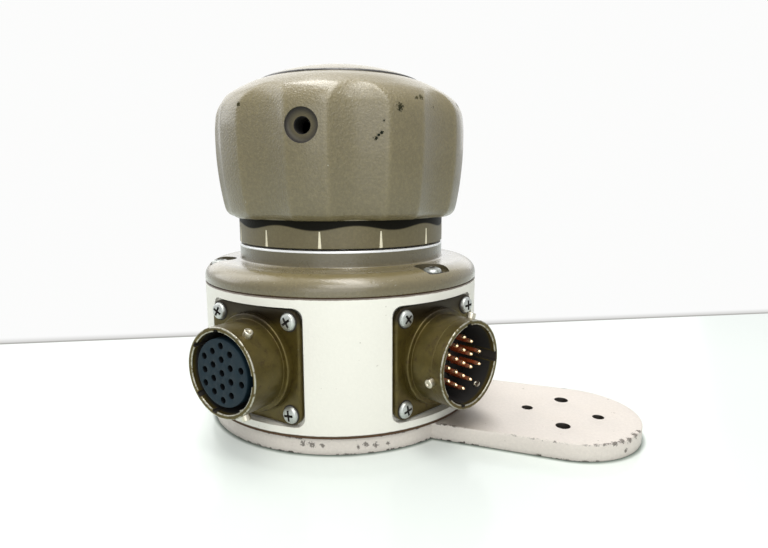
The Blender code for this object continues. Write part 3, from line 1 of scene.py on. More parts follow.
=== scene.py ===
"""Looks of the focus demand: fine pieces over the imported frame, materials, light, floor and camera.

Lengths are millimetres until a mesh is made; lamps, floor and camera are in metres. Azimuths are degrees
about the knob's axis.
"""
import math

import bmesh
import bpy
import numpy as np
from mathutils import Matrix, Vector


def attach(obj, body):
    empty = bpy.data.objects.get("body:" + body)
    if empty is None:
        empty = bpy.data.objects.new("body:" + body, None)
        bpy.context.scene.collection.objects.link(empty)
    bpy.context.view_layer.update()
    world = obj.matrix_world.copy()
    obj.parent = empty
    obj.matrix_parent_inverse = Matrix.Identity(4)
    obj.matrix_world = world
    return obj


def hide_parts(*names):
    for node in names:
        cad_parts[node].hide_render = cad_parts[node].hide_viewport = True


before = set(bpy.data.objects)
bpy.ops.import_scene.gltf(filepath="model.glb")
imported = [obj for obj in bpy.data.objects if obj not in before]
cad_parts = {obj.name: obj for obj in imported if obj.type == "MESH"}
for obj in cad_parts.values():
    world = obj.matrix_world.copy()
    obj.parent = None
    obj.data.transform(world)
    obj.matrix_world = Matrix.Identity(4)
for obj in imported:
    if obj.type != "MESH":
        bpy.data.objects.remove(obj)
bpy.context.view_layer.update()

MM = 0.001

# Base plate and its arm
PLATE_TOP, PLATE_R = 4.4, 38.5
ARM_HALF, ARM_TIP = 18.8, 65.8
ARM_HOLES_X, ARM_HOLE_SKEW = 64.8, 0.7
BIG_HOLE_R, BIG_HOLE_OFFSET = 1.85, 8.9
SMALL_HOLE_R, SMALL_HOLE_OFFSET = 1.5, 9.15
BASE_SCREW_AZIMUTHS, BASE_SCREW_R = (30.0, 165.0, 296.7), 34.8

# Case and cover
SEAM_TOP, CASE_HIGH, CASE_R = 5.1, 39.0, 39.4
COVER_LOW, COVER_TOP = 39.3, 44.6
COVER_BORE_R, COLLAR_BORE_R = 13.8, 26.0
EDGE_WIDE, EDGE_TALL, EDGE_STEPS = 5.6, 4.2, 15
COLLAR_TOP, COLLAR_R, RIM_TALL = 49.0, 29.5, 0.55
COVER_SCREW_AZIMUTHS, COVER_SCREW_R = (-24.5, -144.5, 95.5), 35.2
SCREW_RECESS_R, SCREW_RECESS_DEPTH, SCREW_BORE_R = 4.6, 1.5, 1.55

# Index ring and knob
RING_LOW, RING_TOP = 49.5, 64.3
TICK_PHASE, TICK_COUNT, TICK_TALL = -45.75, 12, 4.3
KNOB_LOW, KNOB_HIGH, KNOB_R = 56.5, 92.9, 35.4
WEB_TOP, WEB_LOW, WEB_BORE_R, MOUTH_R = 90.5, 87.5, 9.0, 29.8
FLUTE_COUNT, FLUTE_PHASE, FLUTE_HALF, FLUTE_DEPTH = 9, -58.2, 11.9, 1.8
SIDE_HOLE_AZIMUTH, SIDE_HOLE_Z, SIDE_RECESS_R, SIDE_BORE_R = -79.9, 78.7, 4.1, 1.9
CAP_R, CAP_LOW, CAP_EDGE, CAP_DOME = 22.9, 90.8, 93.9, 4.1

# Receptacles; their depths are measured outward from the knob's axis
CONNECTOR_Z = 21.85
SOCKET_AZIMUTH, PIN_AZIMUTH = -100.9, -25.75
POCKET_DEPTH, POCKET_HALF, POCKET_CORNER = 35.68, 14.79, 2.4
FLANGE_FRONT, FLANGE_HALF, FLANGE_CORNER = 37.58, 14.29, 3.0
SHELL_FRONT, SHELL_R, SHELL_BORE_R, BOSS_R = 48.75, 11.11, 9.9, 12.4
SCREW_SPACING = 23.01
KEYWAYS = ((90, 2.6), (195, 1.4), (230, 1.4), (305, 1.4), (355, 1.4))
CONTACT_COLUMNS, COLUMN_STEP, LAST_COLUMN_X, ROW_STEP = (3, 4, 5, 4, 2), 2.86, 6.3, 3.3
INSERT_BACK = 27.6


def polar(radius, azimuth):
    """The (x, y) at a radius and an azimuth in degrees."""
    angle = math.radians(azimuth)
    return radius * math.cos(angle), radius * math.sin(angle)


def spun(azimuth):
    """A turn about Z in degrees."""
    return Matrix.Rotation(math.radians(azimuth), 4, "Z")


def moved(x, y, z):
    """A shift in millimetres."""
    return Matrix.Translation((x * MM, y * MM, z * MM))


def outward_at(azimuth, height=CONNECTOR_Z):
    """A frame on the axis whose Z points outward, Y up and X right seen from outside."""
    axes = Matrix(((0, 0, 1, 0), (1, 0, 0, 0), (0, 1, 0, 0), (0, 0, 0, 1)))
    return moved(0, 0, height) @ spun(azimuth) @ axes


def rounded(points, closed=True, fade=0.8, arc_step=15.0):
    """Corners (x, y, rounding, wear) made round, as points (x, y, wear); the wear fades out beside each.

    A corner's rounding and wear can be left out when they are zero.
    """
    out = []
    count = len(points)
    for i, point in enumerate(points):
        x, y, radius, wear = (*point, 0, 0)[:4]
        here = np.array((x, y), float)
        if radius <= 0 or (not closed and i in (0, count - 1)):
            out.append((x, y, wear))
            continue
        before = np.array(points[i - 1][:2], float) - here
        after = np.array(points[(i + 1) % count][:2], float) - here
        back_length, on_length = np.linalg.norm(before), np.linalg.norm(after)
        before, after = before / back_length, after / on_length
        angle = math.acos(max(-1.0, min(1.0, float(before @ after))))
        reach = radius / math.tan(angle / 2)
        limit = 0.48 * min(back_length, on_length)
        if reach > limit:
            radius, reach = radius * limit / reach, limit
        middle = before + after
        centre = here + middle / np.linalg.norm(middle) * radius / math.sin(angle / 2)
        start, end = here + before * reach - centre, here + after * reach - centre
        first = math.atan2(start[1], start[0])
        sweep = (math.atan2(end[1], end[0]) - first + math.pi) % math.tau - math.pi
        steps = max(2, math.ceil(abs(sweep) / math.radians(arc_step)))
        if wear and back_length / 2 - reach > fade:
            out.append((*(here + before * (reach + fade)), 0.0))
        for k in range(steps + 1):
            turn = first + sweep * k / steps
            out.append((centre[0] + radius * math.cos(turn), centre[1] + radius * math.sin(turn), wear))
        if wear and on_length / 2 - reach > fade:
            out.append((*(here + after * (reach + fade)), 0.0))
    return out


def add_object(name, data):
    """A new object in the scene."""
    item = bpy.data.objects.new(name, data)
    bpy.context.scene.collection.objects.link(item)
    return item


def mesh_object(bm, name, matrix=None, sharp=32.0):
    """A linked object of a bmesh in metres, smooth but for its sharp edges."""
    bmesh.ops.recalc_face_normals(bm, faces=bm.faces)
    mesh = bpy.data.meshes.new(name)
    bm.to_mesh(mesh)
    bm.free()
    if matrix is not None:
        mesh.transform(matrix)
    mesh.shade_smooth()
    mesh.set_sharp_from_angle(angle=math.radians(sharp))
    return add_object(name, mesh)


def worn_vertex(bm, x, y, z, wear):
    """A vertex with the wear that its material reads."""
    vertex = bm.verts.new((x * MM, y * MM, z * MM))
    vertex[bm.verts.layers.float["wear"]] = wear
    return vertex


def join_rings(bm, low, high):
    """Faces between two rings of vertices; a ring on the axis is a single one."""
    steps = max(len(low), len(high))
    for k in range(steps if steps > 1 else 0):
        on = (k + 1) % steps
        corners = (low[k % len(low)], low[on % len(low)], high[on % len(high)], high[k % len(high)])
        bm.faces.new(list(dict.fromkeys(corners)))


def block(bm, *corners):
    """A block from four corners anticlockwise round one end, and the four behind them at the other."""
    made = [bm.verts.new((x * MM, y * MM, z * MM)) for x, y, z in corners]
    for face in ((0, 1, 2, 3), (7, 6, 5, 4), (0, 4, 5, 1), (1, 5, 6, 2), (2, 6, 7, 3), (3, 7, 4, 0)):
        bm.faces.new([made[k] for k in face])


def wedge(name, middle, top, bottom, matrix):
    """A block about x = middle, whose top and bottom are each (height, half its length, half its width)."""
    bm = bmesh.new()
    block(bm, *[(middle + x * long, y * wide, height) for height, long, wide in (top, bottom)
                for x, y in ((-1, -1), (1, -1), (1, 1), (-1, 1))])
    return mesh_object(bm, name, matrix)


def lathe(name, profile, steps, warp=None, closed=True, matrix=None, sharp=32.0, phase=0.0):
    """A profile of (radius, height, wear) turned about Z. Warp gives a point's new radius and wear.

    Wear can be left out; below zero it stands for painted shade, a dark, unworn inside.
    """
    bm = bmesh.new()
    bm.verts.layers.float.new("wear")
    rows = []
    for number, point in enumerate(profile):
        radius, height, wear = (*point, 0)[:3]
        row = []
        for k in range(steps if radius > 1e-6 else 1):
            azimuth = phase + 360.0 * k / steps
            reach, amount = warp(radius, height, azimuth, number) if warp else (radius, wear)
            row.append(worn_vertex(bm, *polar(reach, azimuth), height, amount))
        rows.append(row)
    for low, high in zip(rows, rows[1:] + rows[:1] if closed else rows[1:]):
        join_rings(bm, low, high)
    return mesh_object(bm, name, matrix, sharp)


def turned(name, corners, steps, matrix=None):
    """A solid turned about Z from corners that start and end on it."""
    return lathe(name, rounded(corners, closed=False), steps, closed=False, matrix=matrix)


def paint(item, material):
    """Add a material to an object."""
    item.data.materials.append(material)


def shifted(outline, distance):
    """An anticlockwise outline drawn in by a distance."""
    points = np.array(outline, float)
    before, after = np.roll(points, 1, 0), np.roll(points, -1, 0)

    def normals(start, end):
        run = end - start
        run /= np.linalg.norm(run, axis=1)[:, None]
        return np.stack((-run[:, 1], run[:, 0]), 1)

    first, second = normals(before, points), normals(points, after)
    middle = first + second
    middle /= np.linalg.norm(middle, axis=1)[:, None]
    scale = distance / np.maximum(0.5, (middle * first).sum(1))
    return points + middle * scale[:, None]


def slab(name, outer, holes, low, high, bevel=0.3, fade=0.9, hole_bevel=0.12, matrix=None, edge_wear=1.0):
    """A flat outline with holes, raised from low to high, with worn edges and hole walls in painted shade.
    """
    bm = bmesh.new()
    bm.verts.layers.float.new("wear")
    caps = {"low": [], "high": []}
    for number, outline in enumerate([outer, *holes]):
        edge, soft = (bevel, fade) if number == 0 else (hole_bevel, 0.0)
        wear = edge_wear if number == 0 else 0.35
        soft = min(soft, (high - low) / 2 - edge - 0.02) if soft else 0.0
        share = edge * 0.29
        # Hole walls get wear below zero: painted shade inside the holes.
        wall = wear if number == 0 else -1.0
        levels = [(edge, low, wear), (share, low + share, wear), (0, low + edge, wall)]
        if soft:
            levels = [(edge + soft, low, 0), *levels, (0, low + edge + soft, 0), (0, high - edge - soft, 0)]
        levels += [(0, high - edge, wall), (share, high - share, wear), (edge, high, wear)]
        if soft:
            levels.append((edge + soft, high, 0))
        rings = []
        for inset, height, amount in levels:
            rings.append([worn_vertex(bm, x, y, height, amount) for x, y in shifted(outline, inset)])
        for below, above in zip(rings, rings[1:]):
            join_rings(bm, below, above)
        for key, ring in (("low", rings[0]), ("high", rings[-1])):
            caps[key] += [bm.edges.get((ring[k], ring[(k + 1) % len(ring)])) for k in range(len(ring))]
    for edges in caps.values():
        bmesh.ops.triangle_fill(bm, use_beauty=True, use_dissolve=False, edges=edges)
    return mesh_object(bm, name, matrix)


def circle(x, y, radius, steps, inward=False):
    """A round outline; an inward one runs clockwise, as a hole's does."""
    turn = -360.0 if inward else 360.0
    return arc(x, y, radius, 0.0, turn, steps)[:-1]


def arc(x, y, radius, start, end, steps):
    """Points along an arc, both ends included."""
    out = []
    for k in range(steps + 1):
        dx, dy = polar(radius, start + (end - start) * k / steps)
        out.append((x + dx, y + dy))
    return out


def carve(target, finish, inside, *cutters):
    """Cut pieces out of a mesh, and remove them; what they leave has their material, or the inside's."""
    paint(target, finish)
    for cutter in cutters:
        if not cutter.data.materials:
            paint(cutter, inside)
        modifier = target.modifiers.new("carve", "BOOLEAN")
        modifier.operation = "DIFFERENCE"
        modifier.solver = "EXACT"
        modifier.material_mode = "TRANSFER"
        modifier.object = cutter
    bpy.context.view_layer.update()
    evaluated = target.evaluated_get(bpy.context.evaluated_depsgraph_get())
    mesh = bpy.data.meshes.new_from_object(evaluated)
    target.modifiers.clear()
    target.data = mesh
    mesh.shade_smooth()
    mesh.set_sharp_from_angle(angle=math.radians(32))
    for cutter in cutters:
        bpy.data.objects.remove(cutter, do_unlink=True)
    return target


def merge(target, *others):
    """Add the meshes of other objects to the target's, material slots included."""
    bm = bmesh.new()
    bm.from_mesh(target.data)
    materials = list(target.data.materials)
    for other in others:
        lookup = []
        for material in other.data.materials:
            if material not in materials:
                materials.append(material)
            lookup.append(materials.index(material))
        before = len(bm.faces)
        bm.from_mesh(other.data)
        bm.faces.ensure_lookup_table()
        for face in bm.faces[before:]:
            face.material_index = lookup[face.material_index] if lookup else 0
        bpy.data.objects.remove(other, do_unlink=True)
    bm.to_mesh(target.data)
    bm.free()
    for material in materials[len(target.data.materials):]:
        paint(target, material)
    return target


class Nodes:
    """A node tree, written in calls."""

    def __init__(self, tree):
        self.tree = tree

    def put(self, socket, value):
        """Set a socket, or link it to another node's output."""
        if isinstance(value, bpy.types.NodeSocket):
            self.tree.links.new(value, socket)
        elif isinstance(value, tuple) and len(value) == 3 and socket.type == "RGBA":
            socket.default_value = (*value, 1.0)
        else:
            socket.default_value = value

    def node(self, kind, sockets=None, **values):
        """A new node with its properties and sockets set; its outputs."""
        made = self.tree.nodes.new(kind)
        for key, value in values.items():
            setattr(made, key, value)
        for key, value in (sockets or {}).items():
            self.put(made.inputs[key], value)
        return made.outputs


class Graph(Nodes):
    """A material's node tree."""

    def __init__(self, name, roughness=0.5, metallic=0.0, **sockets):
        self.material = bpy.data.materials.new(name)
        self.material.use_nodes = True
        super().__init__(self.material.node_tree)
        self.shader = self.tree.nodes["Principled BSDF"]
        for key, value in {"Metallic": metallic, "Roughness": roughness, **sockets}.items():
            self.shader.inputs[key.replace("_", " ")].default_value = value
        self.place = self.node("ShaderNodeTexCoord")["Object"]

    def noise(self, size, detail=2.0, rough=0.5, stretch=None, warp=0.0):
        """Noise whose lumps are about size millimetres across."""
        vector = self.place
        if stretch:
            vector = self.node("ShaderNodeVectorMath", {0: vector, 1: stretch}, operation="MULTIPLY")[0]
        return self.node("ShaderNodeTexNoise", {
            "Vector": vector, "Scale": 1.0 / (size * MM), "Detail": detail, "Roughness": rough,
            "Distortion": warp,
        })["Fac"]

    def math(self, operation, *values, clamp=False):
        """One math node."""
        return self.node("ShaderNodeMath", dict(enumerate(values)), operation=operation, use_clamp=clamp)[0]

    def times(self, first, second):
        """Product of two numbers."""
        return self.math("MULTIPLY", first, second)

    def plus(self, first, second):
        """Sum of two numbers."""
        return self.math("ADD", first, second)

    def minus(self, first, second):
        """Difference of two numbers."""
        return self.math("SUBTRACT", first, second)

    def step(self, value, low, high):
        """Zero below low, one above high."""
        sockets = {"Value": value, "From Min": low, "From Max": high}
        return self.node("ShaderNodeMapRange", sockets, interpolation_type="SMOOTHSTEP")[0]

    def patchy(self, value, size, low, high):
        """A value kept only in patches of a size in millimetres."""
        return self.times(value, self.step(self.noise(size), low, high))

    def fade(self, value, low, high):
        """One below low, zero above high."""
        return self.minus(1.0, self.step(value, low, high))

    def above(self, low, high):
        """Zero under a height in millimetres, one over another."""
        return self.step(self.axis(2), low * MM, high * MM)

    def below(self, low, high):
        """One under a height in millimetres, zero over another."""
        return self.fade(self.axis(2), low * MM, high * MM)

    def distance(self, x, y, z):
        """How far in metres a point in millimetres is."""
        sockets = {0: self.place, 1: (x * MM, y * MM, z * MM)}
        return self.node("ShaderNodeVectorMath", sockets, operation="DISTANCE")["Value"]

    def reach(self, x=None, y=None):
        """How far in metres the upright axis is, or another one by its offsets."""
        x = self.axis(0) if x is None else x
        y = self.axis(1) if y is None else y
        return self.math("POWER", self.plus(self.times(x, x), self.times(y, y)), 0.5)

    def mix(self, share, first, second):
        """Mix of two colours."""
        return self.node("ShaderNodeMix", {0: share, 6: first, 7: second}, data_type="RGBA")[2]

    def over(self, tone, share, amount, colour):
        """A colour laid over a tone where a share says."""
        return self.mix(self.times(share, amount), tone, colour)

    def blend(self, share, first, second):
        """Mix of two numbers."""
        return self.node("ShaderNodeMix", {0: share, 2: first, 3: second}, data_type="FLOAT")[0]

    def worn(self):
        """The wear that the mesh carries."""
        return self.node("ShaderNodeAttribute", attribute_name="wear")["Fac"]

    def shaded_inside(self):
        """One where the mesh's wear is below zero, which marks an inside in painted shade."""
        return self.math("MULTIPLY", self.worn(), -1.0, clamp=True)

    def axis(self, number):
        """One coordinate in metres."""
        return self.node("ShaderNodeSeparateXYZ", {0: self.place})[number]

    def spots(self, marks, ragged):
        """One inside any of the marks (x, y, z, radius) in millimetres, with ragged rims."""
        total = None
        rag = self.noise(0.5, 4.0, 0.75)
        rag = self.times(self.minus(rag, 0.5), ragged * 4)
        for x, y, z, radius in marks:
            share = self.math("DIVIDE", self.distance(x, y, z), radius * MM)
            mark = self.fade(self.plus(share, rag), 0.75, 1.0)
            total = mark if total is None else self.math("MAXIMUM", total, mark)
        return total

    def bump(self, height, strength, distance):
        """A bump node; distance in millimetres."""
        sockets = {"Strength": strength, "Distance": distance * MM, "Height": height}
        return self.node("ShaderNodeBump", sockets)[0]

    def done(self, colour=None, roughness=None, normal=None, metallic=None):
        """Link the shader's sockets and give the material."""
        for key, value in (("Base Color", colour), ("Roughness", roughness), ("Normal", normal),
                           ("Metallic", metallic)):
            if value is not None:
                self.put(self.shader.inputs[key], value)
        return self.material


def shade(colour, factor):
    """A colour made lighter or darker."""
    return tuple(min(1.0, value * factor) for value in colour)


# Painted shade for insides, brown and near black.
INSIDE_SHADE = (0.022, 0.018, 0.014)
INSIDE_SHADE_BLACK = (0.006, 0.005, 0.004)
SCRAPED = (0.60, 0.58, 0.50)


def enamel(name, colour, rough, grain, under, wear_level=0.62, chips=(), chip_colour=(0.010, 0.013, 0.009),
           pale=(), specks=0.0, speck_colour=(0.16, 0.12, 0.08), scratches=0.0, ridge=0.0, coat=0.0,
           patch=0.0, mottle=1.0, relief=0.10, finish=None):
    """Sprayed enamel: grain, mottling, worn edges, chips and pale rubs; finish changes its tone last.

    Grain is the size of its bumps and relief their height, in millimetres. Under is the colour that shows
    where an edge is worn, which is in patches of a size if patch is given.
    """
    graph = Graph(name, rough, Coat_Weight=coat, Coat_Roughness=0.20)
    broad = graph.noise(14.0, 3.0, 0.6)
    fine = graph.noise(0.75, 4.0, 0.7)
    tone = graph.mix(broad, shade(colour, 1 - 0.08 * mottle), shade(colour, 1 + 0.08 * mottle))
    tone = graph.mix(graph.step(fine, 0.38, 0.70), graph.mix(0.5, tone, shade(colour, 1 - 0.16 * mottle)),
                     graph.mix(0.5, tone, shade(colour, 1 + 0.20 * mottle)))
    rough_value = graph.blend(graph.noise(5.0, 3.0, 0.65), rough - 0.07, rough + 0.10)
    height = graph.noise(grain, 2.0, 0.55)
    # Paler along the flute crests: worn paint and a painted highlight on the ridges.
    if ridge:
        crest = graph.step(graph.worn(), 0.05, 1.0)
        tone = graph.over(tone, crest, ridge, shade(colour, 2.1))
    if specks:
        speck = graph.step(graph.noise(0.8, 1.0, 0.4), 0.74, 0.78)
        tone = graph.over(tone, graph.patchy(speck, 9.0, 0.50, 0.62), specks, speck_colour)
    if scratches:
        line = graph.step(graph.noise(1.6, 2.0, 0.6, stretch=(1.0, 1.0, 0.12), warp=0.6), 0.70, 0.735)
        tone = graph.over(tone, graph.patchy(line, 11.0, 0.52, 0.60), scratches, shade(colour, 1.9))
    if pale:
        rub = graph.spots(pale, 0.55)
        streak = graph.step(graph.noise(1.0, 4.0, 0.8, stretch=(0.7, 0.7, 1.6)), 0.57, 0.70)
        tone = graph.over(tone, graph.times(rub, streak), 0.75, SCRAPED)
    level = wear_level + 0.42
    edge = graph.plus(graph.times(graph.worn(), 0.55), graph.noise(1.7, 5.0, 0.75))
    edge = graph.times(graph.step(edge, level, level + 0.08), graph.step(graph.worn(), 0.02, 0.2))
    if patch:
        edge = graph.patchy(edge, patch, 0.46, 0.56)
    tone = graph.mix(edge, tone, under)
    height = graph.minus(height, edge)
    if chips:
        hole = graph.spots(chips, 1.1)
        tone = graph.mix(hole, tone, chip_colour)
        height = graph.minus(height, hole)
        whole = graph.minus(1.0, hole)
        graph.put(graph.shader.inputs["Coat Weight"], graph.times(whole, coat))
        graph.put(graph.shader.inputs["Specular IOR Level"], graph.times(whole, 0.5))
    if finish:
        tone = finish(graph, tone)
    # Painted shade on insides.
    tone = graph.mix(graph.shaded_inside(), tone, INSIDE_SHADE)
    return graph.done(tone, rough_value, graph.bump(height, 0.5, relief))


def metal(name, colour, rough, mottled=0.15, grain=0.5, brushed=None, tarnish=None, wear=None,
          metallic=1.0, finish=None):
    """Metal or plating: brushed lines, tarnish, painted shade inside, and bright broken wear on its edges.
    """
    graph = Graph(name, rough, metallic)
    cloud = graph.noise(3.0, 4.0, 0.65)
    tone = graph.mix(cloud, shade(colour, 1 - mottled), shade(colour, 1 + mottled))
    if tarnish:
        stain = graph.step(graph.noise(2.1, 5.0, 0.75), 0.50, 0.72)
        tone = graph.over(tone, stain, 0.8, tarnish)
    fine = graph.noise(grain, 3.0, 0.6, stretch=brushed)
    rough_value = graph.blend(fine, rough - 0.08, rough + 0.12)
    metal_value = None
    if wear:
        edge = graph.plus(graph.times(graph.worn(), 0.5), graph.noise(1.3, 5.0, 0.75))
        edge = graph.step(edge, 1.0, 1.14)
        tone = graph.mix(edge, tone, wear)
        scuff = graph.step(graph.noise(0.8, 4.0, 0.8), 0.69, 0.77)
        tone = graph.over(tone, scuff, 0.4, wear)
        # Painted shade inside: near black, matte and not metallic.
        shaded_inside = graph.shaded_inside()
        tone = graph.mix(shaded_inside, tone, INSIDE_SHADE_BLACK)
        rough_value = graph.blend(shaded_inside, rough_value, 0.8)
        metal_value = graph.blend(shaded_inside, graph.blend(edge, metallic, 0.9), 0.0)
    if finish:
        tone = finish(graph, tone)
    return graph.done(tone, rough_value, graph.bump(fine, 0.25, 0.03), metal_value)


def moulded(name, colour, rough, grain=0.4, strength=0.2, dust=0.35, **sockets):
    """Moulded rubber or plastic: fine grain, faint clouding, some dust."""
    graph = Graph(name, rough, **sockets)
    cloud = graph.noise(2.4, 4.0, 0.65)
    tone = graph.mix(cloud, shade(colour, 0.8), shade(colour, 1.25))
    powder = graph.step(graph.noise(0.35, 2.0, 0.6), 0.66, 0.75)
    tone = graph.over(tone, powder, dust, shade(colour, 2.4))
    # Painted shade on insides.
    tone = graph.mix(graph.shaded_inside(), tone, shade(colour, 0.12))
    fine = graph.noise(grain, 3.0, 0.6)
    return graph.done(tone, graph.blend(cloud, rough - 0.08, rough + 0.1), graph.bump(fine, strength, 0.05))


TAUPE = (0.140, 0.1145, 0.0555)
CREAM = (0.81, 0.795, 0.730)
OFF_WHITE = (0.68, 0.628, 0.580)
OLIVE = (0.088, 0.066, 0.014)
PRIMER = (0.62, 0.58, 0.47)
# Pale tone of dust and painted light in the knob's side recess.
DUST_AND_LIGHT = (0.46, 0.43, 0.36)
# Brown of the painted shade along the case's seams.
SEAM_SHADE_BROWN = (0.075, 0.038, 0.018)
# Brown of the painted shadow on the arm.
ARM_SHADOW_BROWN = (0.17, 0.13, 0.09)
# Black of the painted shadow under the cover's ledge.
LEDGE_SHADOW_BLACK = (0.016, 0.010, 0.005)
SHADOW = (0.004, 0.004, 0.003)


def cover_shade_sheen_and_dust(graph, tone):
    """Cover: painted shade on the collar, painted sheen on the rounded edge, dust and painted light on the
    ledge.
    """
    tone = graph.over(tone, graph.above(45.0, 46.0), 0.32, shade(TAUPE, 0.40))
    edge = graph.times(graph.above(41.2, 43.6), graph.below(44.2, 44.5))
    tone = graph.over(tone, edge, 0.34, shade(TAUPE, 2.6))
    ledge = graph.times(graph.above(44.35, 44.55), graph.below(44.62, 45.0))
    ledge = graph.times(ledge, graph.blend(graph.noise(2.5, 3.0), 0.3, 0.75))
    return graph.mix(ledge, tone, shade(TAUPE, 2.1))


def top_dust_and_sheen(graph, tone):
    """Paler dust and painted sheen on the knob's shoulder and cap."""
    return graph.over(tone, graph.above(80.0, 90.5), 0.30, shade(TAUPE, 2.4))


def arm_shadow(graph, tone):
    """Painted shadow, brown, on the arm in the corner under the right receptacle."""
    near = graph.fade(graph.distance(41.5, -14.5, PLATE_TOP), 2.0 * MM, 11.0 * MM)
    near = graph.times(near, graph.above(PLATE_TOP - 0.3, PLATE_TOP - 0.1))
    return graph.over(tone, near, 0.62, ARM_SHADOW_BROWN)


def under_knob(graph, tone):
    """Painted shadow at the ring's top, deeper under the knob's lobes than under its flutes."""
    azimuth = graph.math("ARCTAN2", graph.axis(1), graph.axis(0))
    wave = graph.times(graph.minus(azimuth, math.radians(FLUTE_PHASE)), FLUTE_COUNT)
    edge = graph.plus(graph.times(graph.math("COSINE", wave), 0.60 * MM), 54.50 * MM)
    band = graph.step(graph.minus(graph.axis(2), edge), -0.20 * MM, 0.30 * MM)
    graph.put(graph.shader.inputs["Specular IOR Level"], graph.blend(band, 0.5, 0.05))
    return graph.over(tone, band, 0.97, SHADOW)


def seam_shade(graph, tone):
    """Painted shade, brown, on the case along the seams over and under it."""
    height = graph.axis(2)
    ragged = graph.times(graph.noise(2.5, 4.0, 0.7), 0.35 * MM)
    low = graph.fade(graph.minus(height, ragged), 5.05 * MM, 5.20 * MM)
    high = graph.step(graph.plus(height, ragged), 38.75 * MM, 38.95 * MM)
    return graph.over(tone, graph.math("MAXIMUM", low, high), 0.85, SEAM_SHADE_BROWN)


def ledge_shadow(graph, tone):
    """Painted shadow with a ragged lower edge on a receptacle, under the cover and close to the case."""
    ragged = graph.times(graph.minus(graph.noise(4.0, 4.0, 0.65), 0.5), 5.0 * MM)
    high = graph.step(graph.plus(graph.axis(2), ragged), 31.0 * MM, 34.0 * MM)
    near = graph.fade(graph.reach(), 41.6 * MM, 43.5 * MM)
    return graph.over(tone, graph.times(high, near), 0.85, LEDGE_SHADOW_BLACK)


def hole_dust_and_light(graph, tone):
    """Pale dust and painted light on the lower edge of the knob's side recess."""
    middle = (*polar(KNOB_R - 1.2, SIDE_HOLE_AZIMUTH + 1.2), SIDE_HOLE_Z + 0.8)
    far = graph.step(graph.distance(*middle), 3.7 * MM, 4.7 * MM)
    return graph.over(tone, far, 0.45, DUST_AND_LIGHT)


def on_side(*marks):
    """Marks (azimuth, radius, height, size) on a round side, as (x, y, z, size)."""
    return [(*polar(radius, azimuth), height, size) for azimuth, radius, height, size in marks]


KNOB_CHIPS = on_side(
    (-110.0, 34.8, 84.5, 0.60), (-41.6, 35.1, 83.1, 0.90), (-30.4, 34.2, 86.0, 0.70), (2.0, 34.0, 86.3, 0.8),
    (-48.2, 34.8, 79.8, 0.25), (-49.0, 34.7, 77.2, 0.46), (-50.2, 34.5, 76.5, 0.42),
    (-51.3, 34.3, 75.9, 0.48), (-33.0, 34.4, 85.7, 0.55), (-21.0, 34.4, 84.2, 0.95),
    (-26.5, 35.0, 76.2, 0.25), (-20.0, 35.2, 79.5, 0.22),
)
KNOB_RUBS = on_side((-60, 33.0, 85.8, 3.2), (-70.5, 34.0, 86.0, 1.6), (-48.5, 35.0, 78.4, 1.0))
COVER_RUBS = on_side(
    (-97.0, 38.8, 43.0, 1.0), (-89.0, 38.9, 42.9, 0.6), (-53.0, 39.0, 42.9, 1.6), (-47.5, 39.0, 42.8, 1.5),
    (-61.0, 39.0, 42.9, 0.8),
)
PLATE_CHIPS = (
    (6.5, -38.0, 2.8, 0.7), (8.7, -37.5, 2.6, 0.8), (11.1, -36.9, 2.6, 0.55), (19.1, -33.4, 2.0, 0.55),
    (20.8, -32.4, 2.5, 0.75), (22.9, -31.0, 2.0, 0.7), (25.3, -29.0, 2.0, 0.45), (75.3, -16.3, 4.4, 0.5),
    (77.6, -14.5, 4.3, 0.7), (79.4, -12.6, 4.4, 0.7), (81.0, -10.9, 4.1, 0.85), (82.3, -8.2, 4.3, 0.9),
    (83.3, -5.6, 4.4, 0.6), (80.2, -11.9, 1.8, 0.6),
)

knob_paint = enamel("knob_paint", TAUPE, 0.40, 0.55, (0.45, 0.44, 0.36), 0.72, chips=KNOB_CHIPS,
                    pale=KNOB_RUBS, scratches=0.22, ridge=0.10, coat=0.60, mottle=1.5, relief=0.48,
                    finish=top_dust_and_sheen)
cover_paint = enamel("cover_paint", shade(TAUPE, 0.94), 0.27, 0.50, PRIMER, 0.50, pale=COVER_RUBS,
                     coat=0.8, relief=0.13, finish=cover_shade_sheen_and_dust)
ring_paint = enamel("ring_paint", shade(TAUPE, 0.95), 0.38, 0.50, PRIMER, 0.60, finish=under_knob)
# Painted shade: a darker taupe on the walls and floors of the cover's screw recesses.
recess_shade_paint = enamel("recess_shade_paint", shade(TAUPE, 0.50), 0.55, 0.50, (0.1, 0.09, 0.06))
# The knob's side recess: a darker taupe as painted shade, with pale dust specks.
recess_dust_and_shade = enamel("recess_dust_and_shade", shade(TAUPE, 0.62), 0.70, 0.35, (0.1, 0.09, 0.06), specks=0.8,
                     speck_colour=(0.5, 0.48, 0.4), finish=hole_dust_and_light)
cream_paint = enamel("cream_paint", CREAM, 0.42, 0.8, (0.35, 0.30, 0.22), 0.80, specks=0.55, mottle=0.12,
                     finish=seam_shade)
plate_paint = enamel("plate_paint", OFF_WHITE, 0.46, 0.7, (0.105, 0.092, 0.080), 0.60, chips=PLATE_CHIPS,
                     chip_colour=(0.235, 0.215, 0.195), specks=0.7, mottle=0.38, patch=11.0,
                     finish=arm_shadow)
tick_paint = moulded("tick_paint", (0.78, 0.72, 0.55), 0.5)
rim_metal = metal("rim_metal", (0.90, 0.91, 0.92), 0.30, 0.05, 0.6, metallic=0.35)
shell_plating = metal("shell_plating", OLIVE, 0.33, 0.45, 0.5, tarnish=(0.046, 0.026, 0.008),
                      wear=(0.40, 0.385, 0.32), metallic=0.55, finish=ledge_shadow)
stud_metal = metal("stud_metal", (0.62, 0.58, 0.48), 0.30, 0.2)
